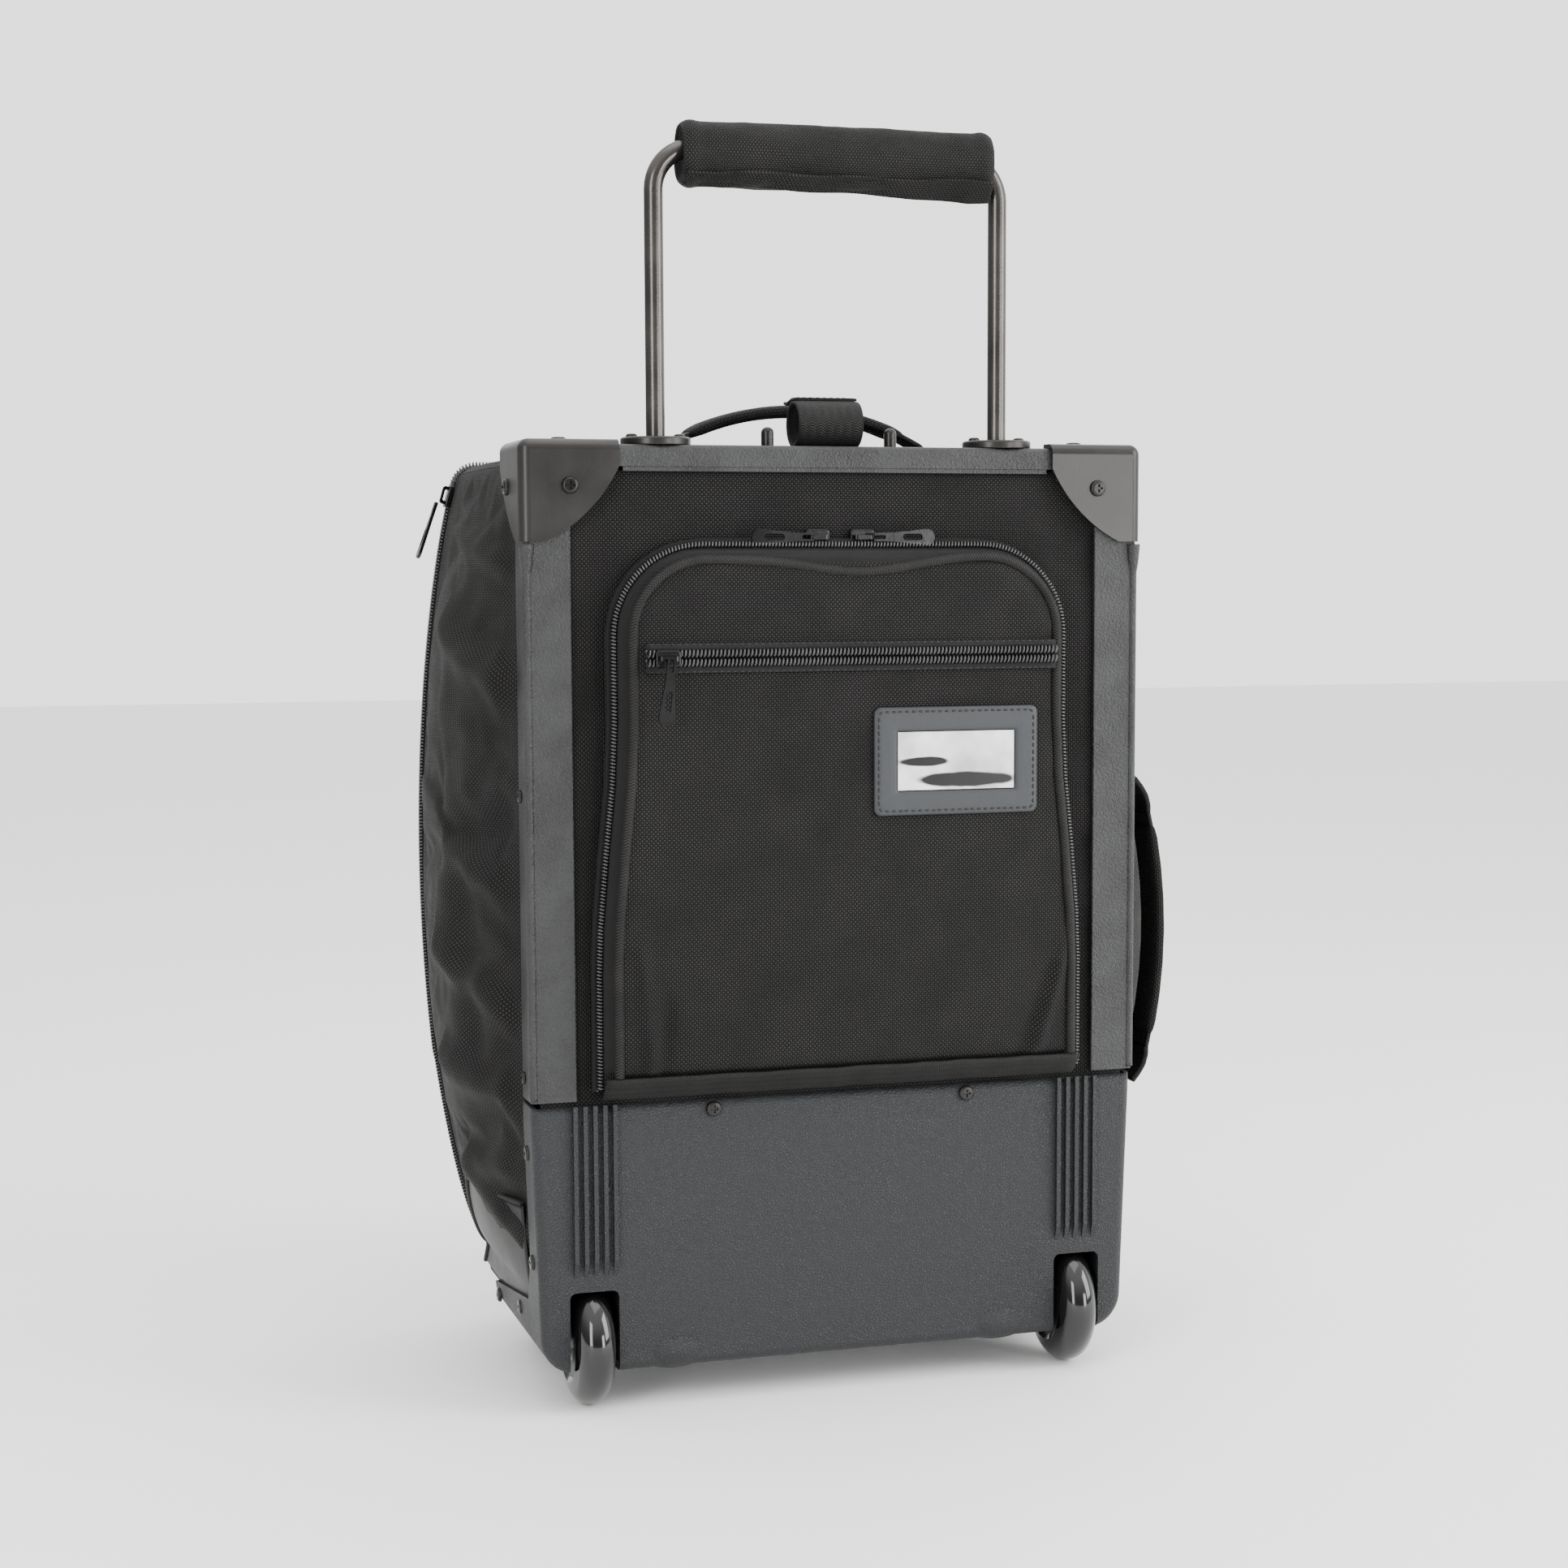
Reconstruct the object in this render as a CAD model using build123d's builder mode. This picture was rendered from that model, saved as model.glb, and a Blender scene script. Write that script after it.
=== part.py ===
from build123d import *

import os
from math import pi, sin

# Softside upright suitcase on two wheels, with a metal back frame and a trolley handle.
# Millimetres, +Z up. The wheels, rear pocket and trolley handle are on the -Y face and
# the lid is on +Y. The origin is on the floor, under the middle of the whole case.
# "left" and "right" are as seen by someone who looks at the wheel side: left is -X.

os.makedirs("parts", exist_ok=True)
SIDES = (("left", -1), ("right", 1))

# ---- driving dimensions -------------------------------------------------------------
# back frame
frame_half = 178.0            # half the frame's outside width, 14 in across
frame_rear = -95.0            # outer face of the uprights and the tray
frame_top = 535.0
frame_sheet = 2.5
bar_height = 12.0
bar_depth = 42.0
bar_round = 4.5               # top edges of the bar
corner_round = 1.5            # outside edges of the uprights and the bar's ends
upright_flange = 25.4
upright_sheet = 3.0
upright_bottom = 176.6
gap = 0.3                     # clearance between parts that move past each other

# corner brackets
bracket_leg = 55.0
bracket_round = 6.0
bracket_straight = 14.0       # straight ends of a leg, before its curved edge
bracket_belly = 38.0          # how far the curved edge stands from the leg's two edges

# scuff tray round the bottom of the case
tray_top = 174.0
tray_bottom = 22.0
tray_taper = 5.0              # how much narrower each side is at the bottom
tray_wall = 3.0
tray_flange = 25.0
skirt_front = 45.0
skirt_rear_top = 58.0
skirt_front_top = 42.0
rib_count, rib_pitch, rib_width, rib_proud = 5, 5.6, 2.4, 2.6
rib_bottom = 76.0

skid_x, skid_length, skid_r, skid_in = 97.0, 32.0, 12.4, 10.0

# wheels
wheel_r = 36.0
wheel_width = 23.0
wheel_x = 144.0
wheel_y = -73.0
well_half = 14.0
well_top = 69.0
housing_wall = 2.5
housing_front = -31.0
housing_bottom, housing_top = 27.0, 78.5
hub_r = 20.0
bearing_od, bearing_id, bearing_width = 22.0, 8.0, 7.0
axle_play = 0.05

# front feet
foot_x, foot_y, foot_length, foot_width = 128.0, 60.0, 44.0, 24.0

# trolley handle
rod_x = 100.0
rod_y = -75.0
rod_r = 5.25
rod_wall = 1.5
rod_bottom = 182.0
handle_top = 696.0            # centre line of the cross bar
handle_bend = 23.0
guide_or, guide_ir = 7.5, 6.1
guide_top, guide_bottom = 520.4, 52.0
flange_r, flange_thick = 19.5, 4.5
grip_left, grip_right = -86.0, 95.0
grip_height, grip_depth = 37.0, 27.0
post_x = 36.0
post_r = 3.5
post_top = 546.0
latch_travel = 6.0

# soft body
fabric = 3.0
body_half = 174.0             # half width where the fabric tucks into the frame
side_bulge = 36.0             # furthest swell of a side beyond the frame
zip_swell = 31.0              # swell of a side at the main zip
body_zip_y = 93.8
lid_back_y = 98.6
lid_front_y = 119.0
tray_half = 173.4             # the same, at the top of the tray
body_bottom = 32.0
swell_low = 60.0              # the sides start to swell above the tray's skirt
hem_bottom = 46.0
body_top = 530.0
lid_bottom = 61.0
board_y = -62.0

# rear pocket
pocket_half_top, pocket_half_low = 129.0, 139.0
pocket_top, pocket_bottom = 479.0, 184.5
pocket_corner = 48.0
pocket_seam_y = -101.0
pocket_front_y = -111.0
cross_zip_z = 419.5
cross_zip_left, cross_zip_right = -114.0, 130.0
id_left, id_right, id_low, id_high = 14.0, 111.0, 330.5, 391.0
id_border = 13.5

# carry handles
carry_half, carry_y, carry_base, carry_rise = 76.0, -5.0, 542.0, 20.0
carry_thick, carry_width = 6.0, 22.0
side_handle_z, side_handle_half = 252.0, 72.0
side_handle_x, side_handle_y, side_handle_rise = 201.5, -45.0, 8.5
side_handle_thick, side_handle_width = 7.5, 26.0
strap_width, strap_thick = 38.0, 2.4


def swell(z, most):
    """How far the soft side stands out at a height: nothing at its ends, most in the middle."""
    share = (z - swell_low) / (body_top + 4 - swell_low)
    return most * sin(pi * min(max(share, 0.0), 1.0)) ** 0.6


def tuck(z):
    """Half width of the fabric where it tucks inside the frame, or inside the tapering tray."""
    if z > tray_top:
        return body_half
    return tray_half - (tray_top - z) * tray_taper / (tray_top - tray_bottom)


def screw(head_r, head_h, shank_r, shank_len):
    """A pan-head cross-recess screw whose head sits on z = 0 and whose shank points down."""
    with BuildPart() as one:
        Cylinder(head_r, head_h, align=(Align.CENTER, Align.CENTER, Align.MIN))
        fillet(one.edges().group_by(Axis.Z)[-1], head_h * 0.8)
        Cylinder(shank_r, shank_len, align=(Align.CENTER, Align.CENTER, Align.MAX))
        with BuildSketch(Plane.XY.offset(head_h)):
            Rectangle(head_r * 1.0, head_r * 0.26)
            Rectangle(head_r * 0.26, head_r * 1.0)
        extrude(amount=-head_h * 0.55, mode=Mode.SUBTRACT)
    return one.part


def facing(x, y, z, normal):
    """A place on a face, with the outward normal as its own Z."""
    return Plane(origin=(x, y, z), z_dir=normal).location


# ---- back frame ---------------------------------------------------------------------
bar_low = frame_top - bar_height
with BuildPart() as top_bar:
    with BuildSketch(Plane.YZ.offset(-frame_half)):
        with Locations((frame_rear + bar_depth / 2, frame_top)):
            Rectangle(bar_depth, bar_height, align=(Align.CENTER, Align.MAX))
    extrude(amount=2 * frame_half)
    fillet(top_bar.edges().filter_by(Axis.X).group_by(Axis.Z)[-1], bar_round)
    for end in (top_bar.faces().sort_by(Axis.X)[0], top_bar.faces().sort_by(Axis.X)[-1]):
        fillet([e for e in end.edges() if e.center().Z > bar_low + 0.1], corner_round)
    with BuildSketch(Plane.YZ.offset(-frame_half)):
        with Locations((frame_rear + bar_depth / 2, bar_low)):
            Rectangle(bar_depth - 2 * frame_sheet, bar_height - frame_sheet,
                      align=(Align.CENTER, Align.MIN))
    extrude(amount=2 * frame_half, mode=Mode.SUBTRACT)
    with BuildSketch(Plane.XY.offset(frame_top)):
        with Locations((-rod_x, rod_y), (rod_x, rod_y)):
            Circle(rod_r + 1)
        with Locations((-post_x + latch_travel / 2, rod_y), (post_x - latch_travel / 2, rod_y)):
            SlotOverall(2 * post_r + latch_travel + 2, 2 * post_r + 1)
    extrude(amount=-frame_sheet, mode=Mode.SUBTRACT)
top_bar.part.label = "top_bar"
export_step(top_bar.part, "parts/top_bar.step")

for side, s in SIDES:
    with BuildPart() as upright:
        with BuildSketch(Plane.XY.offset(upright_bottom)):
            with Locations((s * frame_half, frame_rear)):
                inward = Align.MAX if s > 0 else Align.MIN
                Rectangle(upright_flange, upright_sheet, align=(inward, Align.MIN))
                Rectangle(upright_sheet, upright_flange, align=(inward, Align.MIN))
        extrude(amount=bar_low - 0.2 - upright_bottom)
        outer = upright.edges().filter_by(Axis.Z).sort_by_distance(Vector(s * frame_half, frame_rear, 350))[0]
        fillet(outer, corner_round)
        ends = [e for e in upright.edges().filter_by(Axis.Z)
                if abs(e.center().X - s * (frame_half - upright_flange)) < 0.1
                or abs(e.center().Y - frame_rear - upright_flange) < 0.1]
        fillet(ends, 0.8)
    upright.part.label = f"{side}_upright"
    export_step(upright.part, f"parts/{side}_upright.step")

    # Corner bracket: a pressed three-legged corner whose legs end in curved edges.
    corner = Vector(s * (frame_half + frame_sheet), frame_rear - frame_sheet, frame_top + frame_sheet)
    with BuildPart() as bracket:
        with BuildSketch(Plane.XY.offset(corner.Z)):
            with Locations((corner.X, corner.Y)):
                Rectangle(bracket_leg, bracket_leg, align=(inward, Align.MIN))
        extrude(amount=-bracket_leg)
        near = bracket.vertices().sort_by_distance(corner)[0]
        fillet([e for e in bracket.edges() if near in e.vertices()], bracket_round)
        with BuildPart(mode=Mode.PRIVATE) as core:
            with BuildSketch(Plane.XY.offset(frame_top)):
                with Locations((s * frame_half, frame_rear)):
                    Rectangle(bracket_leg, bracket_leg, align=(inward, Align.MIN))
            extrude(amount=-bracket_leg)
            inside = core.vertices().sort_by_distance(corner)[0]
            fillet([e for e in core.edges() if inside in e.vertices()], corner_round - 0.3)
        add(core.part, mode=Mode.SUBTRACT)
        # what lies beyond each leg's curved edge is cut away
        legs = (
            Plane(origin=corner, x_dir=(-s, 0, 0), z_dir=(0, s, 0)),
            Plane(origin=corner, x_dir=(0, 1, 0), z_dir=(s, 0, 0)),
            Plane(origin=corner, x_dir=(-s, 0, 0), z_dir=(0, 0, -s)),
        )
        for leg in legs:
            down = -1 if leg.y_dir.Z > 0 or leg.y_dir.Y < 0 else 1
            with BuildSketch(leg):
                with BuildLine():
                    ThreePointArc(
                        (bracket_leg, down * bracket_straight),
                        (bracket_belly, down * bracket_belly),
                        (bracket_straight, down * bracket_leg),
                    )
                    Polyline(
                        (bracket_straight, down * bracket_leg),
                        (bracket_straight, down * (bracket_leg + 9)),
                        (bracket_leg + 9, down * (bracket_leg + 9)),
                        (bracket_leg + 9, down * bracket_straight),
                        (bracket_leg, down * bracket_straight),
                    )
                make_face()
            extrude(amount=frame_sheet + 0.6, both=True, mode=Mode.SUBTRACT)
    bracket.part.label = f"{side}_corner_bracket"
    export_step(bracket.part, f"parts/{side}_corner_bracket.step")

bracket_screw_spots = [
    spot
    for _, s in SIDES
    for spot in (
        facing(s * 153, frame_rear - frame_sheet, 512.5, (0, -1, 0)),
        facing(s * (frame_half + frame_sheet), -62, 512.5, (s, 0, 0)),
        facing(s * 152, -64, frame_top + frame_sheet, (0, 0, 1)),
    )
]
with BuildPart() as bracket_screws:
    bracket_screw = screw(4.6, 2.3, 1.9, frame_sheet)
    for spot in bracket_screw_spots:
        add(spot * bracket_screw)
bracket_screws.part.label = "bracket_screws"
export_step(bracket_screws.part, "parts/bracket_screws.step")

with BuildPart() as frame_screws:
    frame_screw = screw(3.6, 1.9, 1.5, 2.0)
    for _, s in SIDES:
        for z in (344.0, 188.0):
            add(facing(s * frame_half, frame_rear + 19, z, (s, 0, 0)) * frame_screw)
frame_screws.part.label = "frame_screws"
export_step(frame_screws.part, "parts/frame_screws.step")

# ---- scuff tray ---------------------------------------------------------------------


def tray_outline(inset, low):
    """Rear outline of the tray: straight tapering sides, round lower corners, open corner at the top."""
    half = frame_half - inset
    corner_r = 21.0 - inset
    narrow = half - tray_taper
    with BuildSketch() as outline:
        with BuildLine():
            FilletPolyline(
                (0, tray_top + 2 * inset), (half, tray_top + 2 * inset), (half, tray_top - 10),
                (narrow, low), (0, low),
                radius=(0.5 + inset / 9, 4.0, corner_r),
            )
            Line((0, low), (0, tray_top + 2 * inset))
        make_face()
        mirror(about=Plane.YZ)
    return outline.sketch


with BuildPart() as scuff_tray:
    with BuildSketch(Plane.XZ.offset(-frame_rear)):
        add(tray_outline(0, tray_bottom))
    extrude(amount=-(skirt_front - frame_rear))
    fillet([e for e in scuff_tray.edges().group_by(Axis.Y)[0] if e.center().Z < tray_top - 1], 6.0)
    with BuildSketch(Plane.XZ.offset(-frame_rear - tray_wall)):
        add(tray_outline(tray_wall, tray_bottom + tray_wall))
    extrude(amount=-(skirt_front - frame_rear + 10), mode=Mode.SUBTRACT)
    # above the skirt only the rear wall and its side flanges are left
    with BuildSketch(Plane.YZ.offset(-frame_half - 5)):
        with BuildLine():
            Polyline(
                (frame_rear + tray_flange, tray_top + 9), (frame_rear + tray_flange, 84),
                (frame_rear + tray_flange + 12, skirt_rear_top), (skirt_front + 5, skirt_front_top),
                (skirt_front + 5, tray_top + 9), (frame_rear + tray_flange, tray_top + 9),
            )
        make_face()
    extrude(amount=2 * frame_half + 10, mode=Mode.SUBTRACT)
    # wheel wells, open at the back and underneath
    with BuildSketch(Plane.XZ.offset(-frame_rear + 5)):
        for _, s in SIDES:
            with Locations((s * wheel_x, 0)):
                RectangleRounded(2 * well_half, 2 * well_top, 4.0)
    extrude(amount=-(housing_front - frame_rear + 5), mode=Mode.SUBTRACT)
    # stair ribs above each wheel, pointed at their lower ends
    for _, s in SIDES:
        for i in range(rib_count):
            x = s * (wheel_x - 1.0) + (i - (rib_count - 1) / 2) * rib_pitch
            with BuildSketch(Plane.YZ.offset(x - rib_width / 2)):
                with BuildLine():
                    Polyline(
                        (frame_rear + 0.5, tray_top), (frame_rear - rib_proud, tray_top),
                        (frame_rear - rib_proud, rib_bottom + 10), (frame_rear + 0.5, rib_bottom),
                        (frame_rear + 0.5, tray_top),
                    )
                make_face()
            extrude(amount=rib_width)
    # two shallow swellings moulded into the lower rear edge, inboard of the wheels
    for _, s in SIDES:
        middle, half = s * skid_x, skid_length / 2
        with BuildSketch(Plane.XZ.offset(-frame_rear - skid_in)):
            with BuildLine():
                low, end, top = tray_bottom + skid_in, skid_r - 3.0, skid_r
                Polyline((middle + half, low + end), (middle + half, low),
                         (middle - half, low), (middle - half, low + end))
                ThreePointArc((middle - half, low + end), (middle, low + top), (middle + half, low + end))
            make_face()
        revolve(axis=Axis((0, frame_rear + skid_in, low), (1, 0, 0)))
    with BuildSketch(Plane.XY.offset(tray_bottom + tray_wall)):
        Rectangle(2 * (skid_x + skid_length), 2 * (-frame_rear - tray_wall))
    extrude(amount=22, mode=Mode.SUBTRACT)
scuff_tray.part.label = "scuff_tray"
export_step(scuff_tray.part, "parts/scuff_tray.step")

tray_screw_spots = [facing(s * 75, frame_rear, 168, (0, -1, 0)) for _, s in SIDES]
for _, s in SIDES:
    tray_screw_spots += [
        facing(s * (frame_half - 1.1), frame_rear + 17, 146, (s, 0, 0)),
        facing(s * (frame_half - 3.3), frame_rear + 17, 84, (s, 0, 0)),
        facing(s * (frame_half - 5.0), frame_rear + 62, 47, (s, 0, 0)),
        facing(s * (frame_half - 5.0), frame_rear + 128, 37, (s, 0, 0)),
    ]
with BuildPart() as tray_screws:
    tray_screw = screw(4.4, 2.2, 1.8, 2.4)
    for spot in tray_screw_spots:
        add(spot * tray_screw)
tray_screws.part.label = "tray_screws"
export_step(tray_screws.part, "parts/tray_screws.step")

# ---- wheels -------------------------------------------------------------------------
axle_z = wheel_r
for side, s in SIDES:
    x = s * wheel_x
    wall_half = well_half + housing_wall
    with BuildPart() as housing:
        with Locations((x, frame_rear + tray_wall + 0.1, housing_bottom)):
            Box(2 * wall_half, housing_front - frame_rear - tray_wall, housing_top - housing_bottom,
                align=(Align.CENTER, Align.MIN, Align.MIN))
        fillet(housing.edges().filter_by(Axis.X).group_by(Axis.Z)[-1].sort_by(Axis.Y)[-1], 12)
        with Locations((x, frame_rear, 0)):
            Box(2 * well_half, housing_front - frame_rear - housing_wall, housing_top - housing_wall,
                align=(Align.CENTER, Align.MIN, Align.MIN), mode=Mode.SUBTRACT)
        with Locations(Location((x, wheel_y, axle_z), (0, 90, 0))):
            Cylinder(bearing_id / 2 - axle_play + 0.02, 4 * wall_half, mode=Mode.SUBTRACT)
    housing.part.label = f"{side}_wheel_housing"
    export_step(housing.part, f"parts/{side}_wheel_housing.step")

    with BuildPart() as tyre:
        with BuildSketch(Plane.XZ.offset(-wheel_y)):
            with BuildLine():
                half = wheel_width / 2
                Polyline((x - half + 1.5, axle_z + hub_r), (x - half, axle_z + hub_r + 3),
                         (x - half + 1.0, axle_z + 27))
                ThreePointArc((x - half + 1.0, axle_z + 27), (x, axle_z + wheel_r), (x + half - 1.0, axle_z + 27))
                Polyline((x + half - 1.0, axle_z + 27), (x + half, axle_z + hub_r + 3),
                         (x + half - 1.5, axle_z + hub_r), (x - half + 1.5, axle_z + hub_r))
            make_face()
        revolve(axis=Axis((0, wheel_y, axle_z), (1, 0, 0)))
    tyre.part.label = f"{side}_tyre"
    export_step(tyre.part, f"parts/{side}_tyre.step")

    with BuildPart() as hub:
        with BuildSketch(Plane.XZ.offset(-wheel_y)):
            with BuildLine():
                # half section: bearing seats at both faces and a spacer rib between them
                rib_in = half - 1.5 - bearing_width
                seat = axle_z + bearing_od / 2
                Polyline(
                    (x - half + 1.5, seat), (x - half + 1.5, axle_z + hub_r), (x + half - 1.5, axle_z + hub_r),
                    (x + half - 1.5, seat), (x + rib_in, seat), (x + rib_in, seat - 3), (x - rib_in, seat - 3),
                    (x - rib_in, seat), (x - half + 1.5, seat),
                )
            make_face()
        revolve(axis=Axis((0, wheel_y, axle_z), (1, 0, 0)))
    hub.part.label = f"{side}_hub"
    export_step(hub.part, f"parts/{side}_hub.step")

    with BuildPart() as bearings:
        for end in (-1, 1):
            with Locations(Location((x + end * (half - 1.5 - bearing_width / 2), wheel_y, axle_z), (0, 90, 0))):
                Cylinder(bearing_od / 2, bearing_width)
                Cylinder(bearing_id / 2, bearing_width, mode=Mode.SUBTRACT)
    bearings.part.label = f"{side}_bearings"
    export_step(bearings.part, f"parts/{side}_bearings.step")

    with BuildPart() as axle:
        with Locations(Location((x, wheel_y, axle_z), (0, 90, 0))):
            Cylinder(bearing_id / 2 - axle_play, 2 * wall_half + 0.2)
            for end in (-1, 1):
                with Locations((0, 0, end * (wall_half + 0.1))):
                    Cylinder(6.5, 2.4, align=(Align.CENTER, Align.CENTER, Align.MAX if end < 0 else Align.MIN))
        fillet(axle.edges().filter_by(GeomType.CIRCLE).sort_by(Axis.X)[0], 1.2)
        fillet(axle.edges().filter_by(GeomType.CIRCLE).sort_by(Axis.X)[-1], 1.2)
    axle.part.label = f"{side}_axle"
    export_step(axle.part, f"parts/{side}_axle.step")

with BuildPart() as front_feet:
    for _, s in SIDES:
        with BuildSketch(Plane.XY.offset(body_bottom - 0.1)):
            with Locations((s * foot_x, foot_y)):
                RectangleRounded(foot_length, foot_width, 9)
        with BuildSketch():
            with Locations((s * foot_x, foot_y)):
                RectangleRounded(foot_length - 8, foot_width - 8, 6)
        loft()
front_feet.part.label = "front_feet"
export_step(front_feet.part, "parts/front_feet.step")

# ---- trolley handle -----------------------------------------------------------------


def handle_path():
    """Centre line of the bent handle tube, up one leg, across and down the other."""
    with BuildLine(Plane.XZ.offset(-rod_y)) as path:
        FilletPolyline(
            (-rod_x, rod_bottom), (-rod_x, handle_top), (rod_x, handle_top), (rod_x, rod_bottom), radius=handle_bend,
        )
    return path.line


with BuildPart() as handle_tube:
    with BuildLine():
        add(handle_path())
    with BuildSketch(Plane.XY.offset(rod_bottom)):
        with Locations((-rod_x, rod_y)):
            Circle(rod_r)
            Circle(rod_r - rod_wall, mode=Mode.SUBTRACT)
    sweep()
handle_tube.part.label = "handle_tube"
export_step(handle_tube.part, "parts/handle_tube.step")

with BuildPart() as handle_grip:
    with BuildSketch(Plane.YZ.offset(grip_left)):
        with Locations((rod_y, handle_top - 2.5)):
            SlotOverall(grip_height, grip_depth, rotation=90)
    extrude(amount=grip_right - grip_left)
    # the loose edge of the hook-and-loop wrap hangs under the grip
    with Locations(((grip_left + grip_right) / 2 + 20, rod_y + 4, handle_top - 2.5 - grip_height / 2)):
        Box(grip_right - grip_left - 44, 5, 6)
    with BuildLine():
        add(handle_path())
    with BuildSketch(Plane.XY.offset(rod_bottom)):
        with Locations((-rod_x, rod_y)):
            Circle(rod_r + 0.05)
    sweep(mode=Mode.SUBTRACT)
handle_grip.part.label = "handle_grip"
export_step(handle_grip.part, "parts/handle_grip.step")

with BuildPart() as rod_stops:
    for _, s in SIDES:
        with Locations((s * rod_x, rod_y, rod_bottom - 0.05)):
            Cylinder(guide_ir - gap, 10, align=(Align.CENTER, Align.CENTER, Align.MAX))
            Cylinder(rod_r - rod_wall - 0.05, 8, align=(Align.CENTER, Align.CENTER, Align.MIN))
rod_stops.part.label = "rod_stops"
export_step(rod_stops.part, "parts/rod_stops.step")

with BuildPart() as guide_tubes:
    for _, s in SIDES:
        with Locations((s * rod_x, rod_y, guide_top)):
            Cylinder(guide_or, guide_top - guide_bottom, align=(Align.CENTER, Align.CENTER, Align.MAX))
            Cylinder(guide_ir, guide_top - guide_bottom - 3, align=(Align.CENTER, Align.CENTER, Align.MAX),
                     mode=Mode.SUBTRACT)
guide_tubes.part.label = "guide_tubes"
export_step(guide_tubes.part, "parts/guide_tubes.step")

with BuildPart() as latch_plate:
    with BuildSketch(Plane.XY.offset(guide_top + 0.1)):
        with Locations((0, frame_rear + bar_depth / 2)):
            Rectangle(2 * rod_x + 46, bar_depth - 1)
        with Locations((-rod_x, rod_y), (rod_x, rod_y)):
            Circle(rod_r + gap, mode=Mode.SUBTRACT)
    extrude(amount=bar_low - guide_top - 0.2)
latch_plate.part.label = "latch_plate"
export_step(latch_plate.part, "parts/latch_plate.step")

with BuildPart() as rod_flanges:
    for _, s in SIDES:
        with Locations((s * rod_x, rod_y, frame_top)):
            Cylinder(flange_r, flange_thick, align=(Align.CENTER, Align.CENTER, Align.MIN))
    fillet(rod_flanges.edges().group_by(Axis.Z)[-1], 1.4)
    fillet(rod_flanges.edges().group_by(Axis.Z)[0], 0.5)
    for _, s in SIDES:
        with Locations((s * rod_x, rod_y, frame_top)):
            Cylinder(rod_r + gap, 2 * flange_thick + 1, mode=Mode.SUBTRACT)
rod_flanges.part.label = "rod_flanges"
export_step(rod_flanges.part, "parts/rod_flanges.step")

with BuildPart() as flange_screws:
    flange_screw = screw(3.2, 2.0, 1.4, flange_thick - 0.5)
    for _, s in SIDES:
        for end in (-1, 1):
            add(facing(s * rod_x + end * 13.5, rod_y, frame_top + flange_thick, (0, 0, 1)) * flange_screw)
flange_screws.part.label = "flange_screws"
export_step(flange_screws.part, "parts/flange_screws.step")

# Pinch latch: two posts pulled together draw their bolts away from the rods.
bolt_low, bolt_high = bar_low + 1.2, frame_top - frame_sheet - 1.2
bolt_mid = (bolt_low + bolt_high) / 2
anchor_half = 9.0
for side, s in SIDES:
    with BuildPart() as latch:
        with BuildSketch(Plane.XY.offset(bolt_low)):
            with BuildLine():
                nose = rod_x - rod_r - gap
                tail = post_x - post_r - 1
                Polyline(
                    (s * tail, rod_y - 4.5), (s * (nose - 4), rod_y - 4.5), (s * nose, rod_y - 2),
                    (s * nose, rod_y + 2), (s * (nose - 4), rod_y + 4.5), (s * tail, rod_y + 4.5),
                    (s * tail, rod_y - 4.5),
                )
            make_face()
        extrude(amount=bolt_high - bolt_low)
        with Locations((s * post_x, rod_y, bolt_high)):
            Cylinder(post_r, post_top - bolt_high, align=(Align.CENTER, Align.CENTER, Align.MIN))
        fillet(latch.edges().group_by(Axis.Z)[-1], post_r * 0.92)
    latch.part.label = f"{side}_latch"
    export_step(latch.part, f"parts/{side}_latch.step")

    with BuildPart() as spring:
        start = anchor_half + 0.3
        length = tail - start - 0.3
        with BuildLine() as coil:
            Helix(pitch=length / 6, height=length, radius=2.1,
                  center=(s * start, rod_y, bolt_mid), direction=(s, 0, 0))
        with BuildSketch(Plane(origin=coil.line @ 0, z_dir=coil.line % 0)):
            Circle(0.35)
        sweep(is_frenet=True)
    spring.part.label = f"{side}_latch_spring"
    export_step(spring.part, f"parts/{side}_latch_spring.step")

with BuildPart() as latch_anchor:
    with Locations((0, rod_y, frame_top - frame_sheet - 0.1)):
        Box(2 * (anchor_half - 0.5), 12, bar_height - frame_sheet - 0.2,
            align=(Align.CENTER, Align.CENTER, Align.MAX))
latch_anchor.part.label = "latch_anchor"
export_step(latch_anchor.part, "parts/latch_anchor.step")

# ---- soft body ----------------------------------------------------------------------
# The rear panel is sewn behind the frame. The sides swell between the frame and the main
# zip, which runs up one side, over the top and down the other. The lid is beyond the zip.
notch_half = well_half + housing_wall + 5.0
notch_front = housing_front + 1.0
notch_top = housing_top + 1.0


def cut_wheel_notches():
    """Clear both wheel housings out of the part being built."""
    for _, s in SIDES:
        with Locations((s * (wheel_x + 1.0), frame_rear, 0)):
            Box(2 * notch_half, notch_front - frame_rear, notch_top,
                align=(Align.CENTER, Align.MIN, Align.MIN), mode=Mode.SUBTRACT)


with BuildPart() as rear_panel:
    with BuildSketch(Plane.XZ.offset(-frame_rear - upright_sheet - 0.1)):
        with BuildLine():
            Polyline(
                (-tuck(hem_bottom) + 1, hem_bottom), (tuck(hem_bottom) - 1, hem_bottom), (tray_half - 1, tray_top),
                (body_half - 1, tray_top + 2), (body_half - 1, guide_top), (-body_half + 1, guide_top),
                (-body_half + 1, tray_top + 2), (-tray_half + 1, tray_top),
                (-tuck(hem_bottom) + 1, hem_bottom),
            )
        make_face()
    extrude(amount=-fabric)
    cut_wheel_notches()
rear_panel.part.label = "rear_panel"
export_step(rear_panel.part, "parts/rear_panel.step")

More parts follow.
